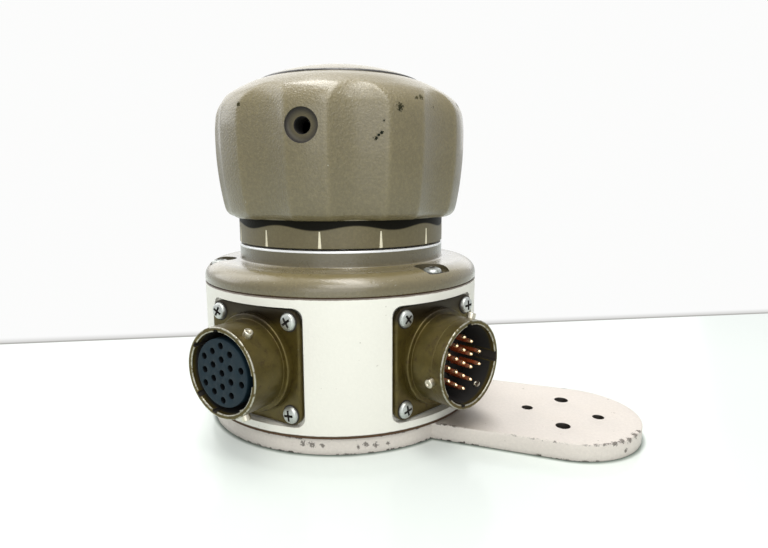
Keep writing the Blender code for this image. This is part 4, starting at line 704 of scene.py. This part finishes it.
zinc = metal("zinc_plate", (0.50, 0.52, 0.50), 0.40, 0.25, 0.3, tarnish=(0.22, 0.22, 0.18), metallic=0.8)
steel = metal("ground_steel", (0.55, 0.55, 0.56), 0.26, 0.1, 0.3, brushed=(1, 1, 0.1))
aluminium = metal("turned_aluminium", (0.72, 0.72, 0.73), 0.34, 0.08, 0.3, brushed=(1, 1, 8.0))
brass = metal("machined_brass", (0.78, 0.58, 0.28), 0.30, 0.12, 0.3, tarnish=(0.45, 0.30, 0.13))
rubber = moulded("contact_rubber", (0.0048, 0.0155, 0.024), 0.55, 0.3, 0.25, Specular_IOR_Level=0.22)
black_body = moulded("insert_black", (0.010, 0.008, 0.007), 0.45, dust=0.1)
felt = moulded("pressed_felt", (0.05, 0.05, 0.05), 0.95, 0.25, 0.9, Sheen_Weight=0.5)
board = moulded("board_lacquer", (0.03, 0.16, 0.07), 0.35, 0.5)
sleeve = moulded("wire_sleeve", (0.08, 0.08, 0.09), 0.55)
seam_shade_rings = moulded("seam_shade_brown", (0.070, 0.036, 0.016), 0.8)
# Painted shade: the dark walls of slots, crosses, holes and keyways.
slot_shade = moulded("slot_shade", (0.020, 0.016, 0.012), 0.8)


def pin_gold():
    """Gold contact pins, bright at the tip and dark copper red towards the insert."""
    graph = Graph("contact_gold", 0.25, 1.0)
    tip = graph.worn()
    tone = graph.mix(tip, (0.40, 0.085, 0.028), (1.0, 0.74, 0.46))
    return graph.done(tone, graph.blend(graph.noise(0.3), 0.18, 0.34), None, graph.blend(tip, 0.45, 1.0))


gold = pin_gold()

CARRIED = (
    (steel, "main_shaft shaft_nut knob_set_screw drag_disc drag_spring stop_pin stop_sector pot_spindle"
            " upper_bearing_outer lower_bearing_outer upper_bearing_inner lower_bearing_inner"
            " upper_ball_cage lower_ball_cage"),
    (aluminium, "knob_hub bearing_housing pot_body pot_bracket"),
    (brass, "drive_gear pot_gear pot_nut board_standoff_1 board_standoff_2"),
    (zinc, "housing_screw_1 housing_screw_2 housing_screw_3 hub_screw_1 hub_screw_2 hub_screw_3"),
    (sleeve, "socket_wires pin_wires pot_wires"), (felt, "drag_pad"), (board, "circuit_board"),
)
for inside_material, carried in CARRIED:
    for carried_node in carried.split():
        carried_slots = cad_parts[carried_node].data.materials
        carried_slots.clear()
        carried_slots.append(inside_material)


def dress(item, material, body, slot, *nodes):
    """Give a piece its material and its body, and hide the nodes that it stands for; the slot is not used.
    """
    if material is not None:
        item.data.materials.clear()
        paint(item, material)
    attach(item, body)
    if nodes:
        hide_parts(*nodes)
    return item


def curve_through(points, steps):
    """A smooth line through (height, radius) points."""
    ends = [points[0], *points, points[-1]]
    out = []
    for i in range(1, len(ends) - 2):
        before, start, end, after = (np.array(p, float) for p in ends[i - 1:i + 3])
        for k in range(steps):
            t = k / steps
            out.append(tuple(
                start * (2 * t**3 - 3 * t**2 + 1) + (end - before) / 2 * (t**3 - 2 * t**2 + t)
                + end * (3 * t**2 - 2 * t**3) + (after - start) / 2 * (t**3 - t**2)
            ))
    out.append(tuple(points[-1]))
    return out


# The knob's outline as shares of its height and its radius
KNOB_SHARES = (
    (1.000, 0.662), (0.970, 0.745), (0.920, 0.840), (0.865, 0.922), (0.790, 0.976), (0.690, 0.996),
    (0.560, 1.000), (0.400, 0.994), (0.230, 0.976), (0.070, 0.947), (0.020, 0.920), (0.000, 0.886),
)
KNOB_TALL = KNOB_HIGH - KNOB_LOW
FLUTE_TOP_GAP, FLUTE_RUNOUT = 3.4, 6.8
FLUTE_SOFTNESS, CREST_WIDTH = 0.008, 0.25


def flute(azimuth, height):
    """The depth of the flutes at an azimuth and a height above the knob's bottom, and the rim's wear."""
    period = 360.0 / FLUTE_COUNT
    offset = (azimuth - FLUTE_PHASE + period / 2) % period - period / 2
    along = max(0.0, height - (KNOB_TALL - FLUTE_TOP_GAP - FLUTE_RUNOUT)) / FLUTE_RUNOUT
    inside = 1.0 - (offset / FLUTE_HALF) ** 2 - along**2
    crest = math.exp(-(inside / CREST_WIDTH) ** 2) if along < 1.3 else 0.0
    return FLUTE_DEPTH * (inside + math.sqrt(inside**2 + FLUTE_SOFTNESS)) / 2, crest


def make_knob():
    """The knob's shell with crisp flutes, the recessed side hole and its hollow."""
    outer = [(KNOB_R * wide, KNOB_LOW + KNOB_TALL * up) for up, wide in KNOB_SHARES]
    line = curve_through(outer, 7)
    profile = [(radius, height, 0.0) for radius, height in line]
    outside = len(profile)
    lip = MOUTH_R + 0.35
    ring_seat, wall_r, seat_r = RING_TOP + 0.3, 28.3, CAP_R + 0.3
    inner = [
        (MOUTH_R, KNOB_LOW, 0.25), (MOUTH_R, ring_seat), (wall_r, ring_seat),
        (wall_r, 84.0), (24.8, WEB_LOW), (WEB_BORE_R, WEB_LOW),
        (WEB_BORE_R, WEB_TOP), (seat_r, WEB_TOP), (seat_r, KNOB_HIGH - 0.1),
    ]
    profile += rounded(inner, closed=False)

    def warp(radius, height, azimuth, number):
        # Painted shade on the knob's top rim and in the seat under the cap.
        if number >= outside:
            return radius, -1.0 if height > WEB_TOP - 0.1 and radius > WEB_BORE_R + 1.0 else 0.0
        if number == 0:
            return radius, -1.0
        depth, crest = flute(azimuth, height - KNOB_LOW)
        reach = radius - depth
        return (max(lip, reach) if height < KNOB_LOW + 3.0 else reach), crest

    knob = lathe("knob_shell_fine", profile, FLUTE_COUNT * 48, warp, phase=FLUTE_PHASE, sharp=40)
    place = outward_at(SIDE_HOLE_AZIMUTH, SIDE_HOLE_Z)
    floor, clear = KNOB_R - 1.2, KNOB_R + 3
    recess = turned("recess_cutter", [
        (0, floor), (SIDE_RECESS_R, floor, 0.25), (SIDE_RECESS_R, clear), (0, clear),
    ], 64, place)
    inside, rim = 26.0, floor + 0.1
    hole = turned("hole_cutter", [
        (0, inside), (SIDE_BORE_R, inside), (SIDE_BORE_R, rim - 0.35), (SIDE_BORE_R + 0.25, rim), (0, rim),
    ], 48, place)
    paint(hole, slot_shade)
    carve(knob, knob_paint, recess_dust_and_shade, recess, hole)
    return dress(knob, None, "knob", "taupe_paint", "knob_shell")


def make_cap():
    """The domed cap in the knob's top."""
    steps, spigot_r, spigot_low = 24, WEB_BORE_R - 0.3, 89.6
    dome = [((CAP_R - 1.0) * k / steps, CAP_EDGE + CAP_DOME * (1 - (k / steps) ** 2))
            for k in range(steps)]
    # Painted shade on the rim's lower edge, the dark line at the cap's seam.
    rim = rounded([
        (CAP_R - 1.5, 94.09), (CAP_R, 93.45, 0.5, -1), (CAP_R, CAP_LOW, 0, -1), (spigot_r, CAP_LOW),
        (spigot_r, spigot_low), (0, spigot_low),
    ], closed=False, fade=0.25)
    cap = lathe("knob_cap_fine", dome + rim, 144, closed=False)
    return dress(cap, knob_paint, "knob", "taupe_paint", "knob_cap")


def make_ring():
    """The index ring and its ticks."""
    wall_r, web_low, bore_r = 26.5, RING_TOP - 2.0, 20.0
    profile = rounded([
        (COLLAR_R, RING_TOP), (COLLAR_R, RING_LOW, 0.15, 0.5), (wall_r, RING_LOW),
        (wall_r, web_low), (bore_r, web_low), (bore_r, RING_TOP),
    ])
    ring = lathe("index_ring_fine", profile, 192)
    dress(ring, ring_paint, "knob", "taupe_paint", "index_ring")
    bm = bmesh.new()
    low, high = RING_LOW + 0.12, RING_LOW + TICK_TALL
    outline = ((-0.42, low), (0.42, low), (0.17, high), (-0.17, high))
    for number in range(TICK_COUNT):
        middle = TICK_PHASE + 360.0 / TICK_COUNT * number
        corners = []
        for reach in (COLLAR_R + 0.03, COLLAR_R - 0.06):
            for side, height in outline:
                corners.append((*polar(reach, middle + math.degrees(side / COLLAR_R)), height))
        block(bm, *corners)
    dress(mesh_object(bm, "index_ticks"), tick_paint, "knob", "cream_paint")


def make_cover():
    """The cover with its rounded flange, collar, worn bright rim and screw recesses."""
    edge = []
    for k in range(EDGE_STEPS):
        turn = math.radians(90.0 * (k + 0.5) / EDGE_STEPS)
        radius, height = EDGE_WIDE * (1 - math.sin(turn)), EDGE_TALL * (1 - math.cos(turn))
        edge.append((CASE_R - radius, COVER_TOP - height))
    rim_low = COLLAR_TOP - RIM_TALL
    profile = rounded([
        (COLLAR_R, rim_low), (COLLAR_R, COVER_TOP, 0.5, 0.1), *edge,
        (CASE_R, COVER_LOW, 0.2, 0.5), (COVER_BORE_R, COVER_LOW), (COVER_BORE_R, COVER_TOP),
        (COLLAR_BORE_R, COVER_TOP, 0.4), (COLLAR_BORE_R, rim_low),
    ], arc_step=7.5)
    cover = lathe("top_cover_fine", profile, 192)
    under, floor, over = COVER_LOW - 1.3, COVER_TOP - SCREW_RECESS_DEPTH, COVER_TOP + 2
    recess = [(0, under), (SCREW_BORE_R, under), (SCREW_BORE_R, floor), (SCREW_RECESS_R, floor, 0.3),
              (SCREW_RECESS_R, over), (0, over)]
    cutters = [turned("recess_cutter", recess, 48, moved(*polar(COVER_SCREW_R, azimuth), 0))
               for azimuth in COVER_SCREW_AZIMUTHS]
    carve(cover, cover_paint, recess_shade_paint, *cutters)
    dress(cover, None, "case", "taupe_paint", "top_cover")
    rim = rounded([
        (COLLAR_R, rim_low), (COLLAR_R, COLLAR_TOP, 0.35), (COLLAR_BORE_R, COLLAR_TOP, 0.3),
        (COLLAR_BORE_R, rim_low),
    ])
    dress(lathe("collar_rim", rim, 192), rim_metal, "case", "taupe_paint")


def make_case():
    """Cream case, a flat pocket per receptacle, thin rings of painted shade in the seams over and under it.
    """
    inner_r = 32.5
    profile = rounded([
        (CASE_R, CASE_HIGH, 0.25, 0.6), (CASE_R, SEAM_TOP, 0.2, 0.5), (inner_r, SEAM_TOP),
        (inner_r, CASE_HIGH),
    ])
    case = lathe("drum_case_fine", profile, 240)
    cutters = []
    start, end, bore_r = 26.0, 40.0, 11.1
    for azimuth in (SOCKET_AZIMUTH, PIN_AZIMUTH):
        pocket = rounded_square(POCKET_HALF, POCKET_CORNER, 6)
        cutters.append(slab("pocket_cutter", pocket, [], POCKET_DEPTH, 46.0, 0.05, 0.0,
                            matrix=outward_at(azimuth)))
        bore = [(0, start), (bore_r, start), (bore_r, end), (0, end)]
        cutters.append(turned("bore_cutter", bore, 64, outward_at(azimuth)))
    carve(case, cream_paint, cream_paint, *cutters)
    dress(case, None, "case", "cream_paint", "drum_case")
    back = inner_r + 1.0
    # Brown rings in the seams stand for the shade in the gaps.
    for name, radius, low, high in (("upper_seam", 39.0, CASE_HIGH + 0.02, COVER_LOW - 0.02),
                                    ("lower_seam", 39.2, PLATE_TOP + 0.06, SEAM_TOP - 0.02)):
        seam = [(radius, high), (radius, low), (back, low), (back, high)]
        dress(lathe(name, seam, 160), seam_shade_rings, "case", "black_plastic")


def make_plate():
    """The foot and arm with bevelled, chipped edges."""
    corner = math.degrees(math.asin(ARM_HALF / PLATE_R))
    outline = arc(0, 0, PLATE_R, corner, 360 - corner, 150)
    straight = np.linspace(PLATE_R + 2.0, ARM_TIP - 4, 9)
    outline += [(x, -ARM_HALF) for x in straight]
    outline += arc(ARM_TIP, 0, ARM_HALF, -90, 90, 60)
    outline += [(x, ARM_HALF) for x in reversed(straight)]
    holes = [circle(ARM_HOLES_X - side * ARM_HOLE_SKEW, side * BIG_HOLE_OFFSET, BIG_HOLE_R, 32, True)
             for side in (-1, 1)]
    holes += [circle(ARM_HOLES_X + side * SMALL_HOLE_OFFSET, 0, SMALL_HOLE_R, 28, True) for side in (-1, 1)]
    plate = slab("base_plate_fine", outline, holes, 0, PLATE_TOP, 0.28, 1.3)
    sink = [(0, 6), (SCREW_BORE_R, 6), (SCREW_BORE_R, 1.95), (3.0, 0.5), (3.0, -1), (0, -1)]
    cutters = [turned("sink_cutter", sink, 40, moved(*polar(BASE_SCREW_R, azimuth), 0))
               for azimuth in BASE_SCREW_AZIMUTHS]
    carve(plate, plate_paint, slot_shade, *cutters)
    dress(plate, None, "case", "white_paint", "base_plate")


def cross_cutters(top, reach, depth):
    """The two tapered wings of a cross for a screw's head."""
    over, under = (top + 0.3, reach, 0.34), (top - depth, reach * 0.45, 0.20)
    return [wedge("cross_cutter", 0, over, under, spun(turn)) for turn in (0, 90)]


def screw(node, head, tall, matrix, turn, length=4.0):
    """A cross-head screw for a node, whose seat is at zero; one that isn't tall is sunk."""
    shank = 1.25
    if tall:
        profile = [(0, tall), (head * 0.55, tall), (head * 0.9, tall * 0.72, 0.5),
                   (head, tall * 0.28, 0.2), (head, 0, 0.08), (shank, 0)]
    else:
        profile = [(0, 0), (head, 0, 0.12), (head, -0.2), (shank, -head + 1.05)]
    profile += [(shank, -length), (0, -length)]
    made = turned(node + "_fine", profile, 40)
    carve(made, zinc, slot_shade, *cross_cutters(tall, head * 0.74, 1.0))
    if tall:
        # A thin dark ring round the head's foot.
        skirt = [(head - 0.2, 0), (head + 0.32, 0), (head + 0.1, 0.07), (head - 0.2, 0.07)]
        dark_ring = lathe("dark_ring", skirt, 40)
        paint(dark_ring, slot_shade)
        merge(made, dark_ring)
    made.data.transform(matrix @ spun(turn))
    dress(made, None, "case", "zinc", node)


def make_screws():
    """The screws that show: four on each flange, three in the cover, three underneath."""
    half = SCREW_SPACING / 2
    corners = ((-half, -half), (-half, half), (half, -half), (half, half))
    for prefix, azimuth, turns in (("socket", SOCKET_AZIMUTH, (20, 62, 8, 35)),
                                   ("pin", PIN_AZIMUTH, (12, 40, 70, 5))):
        for number, ((x, y), turn) in enumerate(zip(corners, turns), 1):
            place = outward_at(azimuth) @ moved(x, y, FLANGE_FRONT + 0.1)
            screw(f"{prefix}_screw_{number}", 2.15, 1.15, place, turn)
    seat = COVER_TOP - SCREW_RECESS_DEPTH + 0.01
    for number, azimuth in enumerate(COVER_SCREW_AZIMUTHS, 1):
        place = moved(*polar(COVER_SCREW_R, azimuth), seat)
        screw(f"cover_screw_{number}", 2.4, 1.2, place, azimuth + 20 * number)
    flip = Matrix.Rotation(math.pi, 4, "X")
    for number, azimuth in enumerate(BASE_SCREW_AZIMUTHS, 1):
        place = moved(*polar(BASE_SCREW_R, azimuth), 0.3) @ flip
        screw(f"base_screw_{number}", 2.7, 0, place, 25 * number, length=9)


def rounded_square(half, corner, steps):
    """A square outline with round corners."""
    inner = half - corner
    out = []
    for number, (x, y) in enumerate(((1, 1), (-1, 1), (-1, -1), (1, -1))):
        out += arc(x * inner, y * inner, corner, 90 * number, 90 * number + 90, steps)
    return out


def make_shell(name, azimuth, lugs, groove):
    """A receptacle's shell: flange, boss, barrel with keyways, and lugs with their riveted ends."""
    place = outward_at(azimuth)
    flange = slab(name + "_fine", rounded_square(FLANGE_HALF, FLANGE_CORNER, 8),
                  [circle(0, 0, BOSS_R - 1.0, 64, True)], FLANGE_FRONT - 1.6, FLANGE_FRONT, 0.22, 0.5,
                  matrix=place, edge_wear=0.75)
    boss_front, boss_back = FLANGE_FRONT + 1.8, FLANGE_FRONT - 1.55
    tail_r, tail_back = 10.8, boss_back - 8.8
    lug_depth = SHELL_FRONT - 3.0
    barrel = [(SHELL_BORE_R, SHELL_FRONT, 0.25, 1.25), (SHELL_R, SHELL_FRONT, 0.25, 1.25)]
    if groove:
        barrel += [(SHELL_R, lug_depth, 0.03), (SHELL_R - 0.10, lug_depth - 0.08, 0.03),
                   (SHELL_R, lug_depth - 0.16, 0.03)]
    # The last two points put painted shade on the bore's inner wall.
    barrel += [
        (SHELL_R, boss_front, 0.15), (BOSS_R, boss_front, 0.35, 0.5), (BOSS_R, boss_back),
        (tail_r, boss_back), (tail_r, tail_back), (SHELL_BORE_R, tail_back, 0, -1),
        (SHELL_BORE_R, SHELL_FRONT - 1.6, 0, -1),
    ]
    tube = lathe(name + "_barrel", rounded(barrel, fade=0.25), 144)
    cutters = []
    for clock, width in KEYWAYS:
        front, back = (SHELL_FRONT + 2.0, 1.3, width / 2), (SHELL_FRONT - 7.0, 1.3, width / 2)
        cutters.append(wedge("keyway_cutter", SHELL_BORE_R - 0.7, front, back, spun(90 - clock)))
    carve(tube, shell_plating, slot_shade, *cutters)
    tube.data.transform(place)
    paint(flange, shell_plating)
    extras = [tube]
    lug_root, lug_top, rivet_end = 10.9, SHELL_R + 1.4, 9.55
    stud = [(0, lug_top - 0.25), (0.35, lug_top - 0.25), (0.5, lug_top), (1.1, lug_top, 0.22),
            (1.1, lug_root), (0, lug_root)]
    rivet = [(0, rivet_end + 0.17), (0.45, rivet_end + 0.17), (0.6, rivet_end), (0.95, rivet_end, 0.1),
             (1.0, 10.4), (0, 10.4)]
    for clock in lugs:
        along = Vector((*polar(1.0, 90 - clock), 0)).to_track_quat("Z", "Y").to_matrix().to_4x4()
        seat = place @ moved(0, 0, lug_depth) @ along
        for part, profile, steps in (("_stud", stud, 28), ("_rivet", rivet, 24)):
            extras.append(turned(name + part, profile, steps, seat))
            paint(extras[-1], stud_metal)
    merge(flange, *extras)
    dress(flange, None, "case", "olive_plating", name)


def contact_places():
    """The eighteen contacts, seen from outside."""
    places = []
    for column, count in enumerate(CONTACT_COLUMNS):
        last = column == len(CONTACT_COLUMNS) - 1
        x = LAST_COLUMN_X if last else COLUMN_STEP * (column - 2)
        for row in range(count):
            places.append((x, ROW_STEP * (row - (count - 1) / 2)))
    return places


def make_inserts():
    """The rubber face with its contact holes, and the black insert with its gold pins."""
    place = outward_at(SOCKET_AZIMUTH)
    nose = SHELL_FRONT - 0.4
    seat_r = SHELL_BORE_R - 0.3
    holes = [circle(x, y, 0.8, 20, True) for x, y in contact_places()]
    face_r, face_back, step = 8.3, nose - 2.6, 41.5
    face = slab("socket_insert_fine", circle(0, 0, face_r, 96), holes, nose - 3.0, nose,
                0.25, 0.4, 0.16, place)
    body = turned("socket_body", [
        (0, face_back), (face_r - 0.1, face_back), (face_r - 0.1, step), (seat_r, step, 0.1),
        (seat_r, INSERT_BACK), (0, INSERT_BACK),
    ], 96, place)
    paint(body, black_body)
    paint(face, rubber)
    merge(face, body)
    dress(face, None, "case", "grey_rubber", "socket_insert")

    place = outward_at(PIN_AZIMUTH)
    level = SHELL_FRONT - 8.8
    body = turned("pin_insert_fine", [
        (0, level), (seat_r, level, 0.2), (seat_r, INSERT_BACK), (0, INSERT_BACK),
    ], 96, place)
    paint(body, black_body)
    tip, pin_r, root = SHELL_FRONT - 1.8, 0.52, level + 0.3
    collar = [(0, level + 0.5), (0.85, level + 0.5, 0.15), (1.0, level - 0.1), (0, level - 0.1)]
    pin = [(0, tip, 1), (0.22, tip - 0.04, 1), (0.40, tip - 0.22, 1), (pin_r, tip - 0.6, 1),
           (pin_r, tip - 0.9, 0.25), (pin_r, tip - 2.0), (pin_r, root), (0, root)]
    extras = []
    for x, y in contact_places():
        spot = place @ moved(x, y, 0)
        ring = turned("pin_collar", collar, 20, spot)
        paint(ring, black_body)
        rod = lathe("pin", pin, 16, closed=False, matrix=spot)
        paint(rod, gold)
        extras += [ring, rod]
    merge(body, *extras)
    dress(body, None, "case", "black_plastic", "pin_insert")


make_knob()
make_cap()
make_ring()
make_cover()
make_case()
make_plate()
make_shell("socket_shell", SOCKET_AZIMUTH, (33.0, 157.0, 277.0), False)
make_shell("pin_shell", PIN_AZIMUTH, (18.0, 138.0, 258.0), True)
make_inserts()
make_screws()


BACKDROP = (0.972, 0.974, 0.970)
BACKDROP_TURN, BACKDROP_SKEW = 115.094, 0.0733
BACKDROP_AWAY, CREASE_SHARP, CREASE_SOFT = 0.0797, 0.0025, 0.0108


def make_floor():
    """A pale glossy floor with a painted contact shadow at the part's foot.

    Behind a straight line it takes the backdrop's plain white, with painted shade in a grey crease along the
    line.
    """
    bm = bmesh.new()
    bmesh.ops.create_grid(bm, x_segments=2, y_segments=2, size=4.0)
    floor = mesh_object(bm, "floor")
    graph = Graph("floor_gloss", 0.16, Specular_IOR_Level=0.35)
    veil = graph.noise(60.0, 2.0)
    ground = graph.mix(veil, (0.74, 0.81, 0.77), (0.78, 0.84, 0.80))
    x, y = graph.axis(0), graph.axis(1)
    turn = math.radians(BACKDROP_TURN)
    away = graph.plus(graph.times(x, math.cos(turn)), graph.times(y, math.sin(turn)))
    side = graph.plus(graph.times(x, math.sin(turn)), graph.times(y, -math.cos(turn)))
    line = graph.minus(away, graph.times(side, BACKDROP_SKEW))
    behind = graph.step(line, BACKDROP_AWAY - 0.0017, BACKDROP_AWAY - 0.0003)
    # Painted shade: a grey crease where the backdrop meets the floor.
    sharp = graph.fade(line, BACKDROP_AWAY, BACKDROP_AWAY + CREASE_SHARP)
    soft = graph.fade(line, BACKDROP_AWAY, BACKDROP_AWAY + CREASE_SOFT)
    crease = graph.plus(graph.times(sharp, 0.42), graph.times(soft, 0.48))
    backdrop = graph.mix(crease, BACKDROP, (0.34, 0.33, 0.31))
    emit = graph.node("ShaderNodeEmission", {"Color": graph.mix(behind, (0.955, 0.985, 0.975), backdrop)})
    plain = graph.math("MAXIMUM", behind, graph.step(graph.reach(x, y), 0.20, 0.55))
    camera_ray = graph.node("ShaderNodeLightPath")["Is Camera Ray"]
    seen = graph.times(camera_ray, graph.blend(plain, 0.45, 1.0))
    along = graph.math("MINIMUM", graph.math("MAXIMUM", x, 0.0), ARM_TIP * MM)
    outside = graph.math(
        "MINIMUM", graph.minus(graph.reach(x, y), PLATE_R * MM),
        graph.minus(graph.reach(graph.minus(x, along), y), ARM_HALF * MM))
    seen = graph.times(seen, graph.step(outside, -0.0015, 0.0))
    seen = graph.times(seen, graph.blend(graph.step(outside, 0.0, 0.028), 0.36, 1.0))
    # Painted contact shadow: dark and unlit just round the part's foot.
    contact = graph.fade(outside, 0.0001, 0.0014)
    seen = graph.times(seen, graph.minus(1.0, contact))
    ground = graph.mix(graph.times(contact, 0.80), ground, (0.13, 0.17, 0.14))
    graph.put(graph.shader.inputs["Base Color"], ground)
    mixed = graph.node("ShaderNodeMixShader", {0: seen, 1: graph.shader.outputs[0], 2: emit[0]})
    graph.put(graph.tree.nodes["Material Output"].inputs[0], mixed[0])
    paint(floor, graph.material)
    floor.location.z = -0.00005


def lamp(name, place, target, size, energy, colour=(1, 1, 1)):
    """An area lamp aimed at a point; metres and watts."""
    data = bpy.data.lights.new(name, "AREA")
    data.shape = "RECTANGLE"
    data.size, data.size_y = size
    data.energy = energy
    data.color = colour
    item = add_object(name, data)
    item.location = place
    item.rotation_euler = (Vector(target) - Vector(place)).to_track_quat("-Z", "Y").to_euler()
    item.visible_camera = False


WARM_WHITE = (1.0, 0.985, 0.95)
PLAIN_GLOW, GLOSS_GLOW = 0.26, 0.78


def make_light():
    """White surroundings and soft lamps. The surroundings look brighter in gloss than on plain paint."""
    world = bpy.data.worlds.new("surroundings")
    bpy.context.scene.world = world
    world.use_nodes = True
    nodes = Nodes(world.node_tree)
    path = nodes.node("ShaderNodeLightPath")
    glossy = {"Value": path["Is Glossy Ray"], "To Min": PLAIN_GLOW, "To Max": GLOSS_GLOW}
    lit = world.node_tree.nodes["Background"]
    nodes.put(lit.inputs["Color"], (0.97, 0.985, 1.0))
    nodes.put(lit.inputs["Strength"], nodes.node("ShaderNodeMapRange", glossy)[0])
    seen = nodes.node("ShaderNodeBackground", {"Color": BACKDROP})
    mixed = nodes.node("ShaderNodeMixShader", {0: path["Is Camera Ray"], 1: lit.outputs[0], 2: seen[0]})
    nodes.put(world.node_tree.nodes["World Output"].inputs[0], mixed[0])
    lamp("overhead", (-0.01, -0.01, 0.75), (0, 0, 0.05), (0.90, 0.20), 4.6, WARM_WHITE)
    lamp("key", (0.25, -0.42, 0.52), (0, 0, 0.05), (0.45, 0.34), 1.95, WARM_WHITE)
    lamp("front_fill", (0.25, -0.75, 0.22), (0, 0, 0.03), (0.7, 0.4), 1.4)
    lamp("backdrop_glow", (-0.29, 0.62, 0.38), (0, 0, 0.09), (1.3, 0.55), 1.8)
    lamp("left_glow", (-0.66, -0.04, 0.50), (0, 0, 0.08), (0.50, 0.70), 2.0)


CAMERA_ANGLES = (4.375, 9.104, -0.098)
CAMERA_TURN, CAMERA_BACK, CAMERA_HIGH = 25.094, 0.163716, 0.064786
FOCAL_PIXELS, PICTURE_PIXELS, SENSOR_WIDTH = 547.0, 768.0, 36.0


def make_camera():
    """The photograph's camera: where it stands round the part, then its own yaw, pitch and roll."""
    yaw, pitch, roll = (math.radians(angle) for angle in CAMERA_ANGLES)
    forward = Vector((math.sin(yaw) * math.cos(pitch), math.cos(yaw) * math.cos(pitch), -math.sin(pitch)))
    right = Vector((math.cos(yaw), -math.sin(yaw), 0))
    up = right.cross(forward)
    right, up = right * math.cos(roll) + up * math.sin(roll), up * math.cos(roll) - right * math.sin(roll)
    axes = Matrix.Rotation(math.radians(CAMERA_TURN), 3, "Z") @ Matrix((right, up, -forward)).transposed()
    data = bpy.data.cameras.new("camera")
    data.sensor_width = SENSOR_WIDTH
    data.lens = FOCAL_PIXELS * SENSOR_WIDTH / PICTURE_PIXELS
    data.clip_start = 0.01
    item = add_object("camera", data)
    place = spun(CAMERA_TURN) @ Vector((0, -CAMERA_BACK, CAMERA_HIGH))
    item.matrix_world = Matrix.Translation(place) @ axes.to_4x4()
    bpy.context.scene.camera = item


make_floor()
make_light()
make_camera()
bpy.context.scene.view_settings.view_transform = "Standard"
bpy.context.view_layer.update()
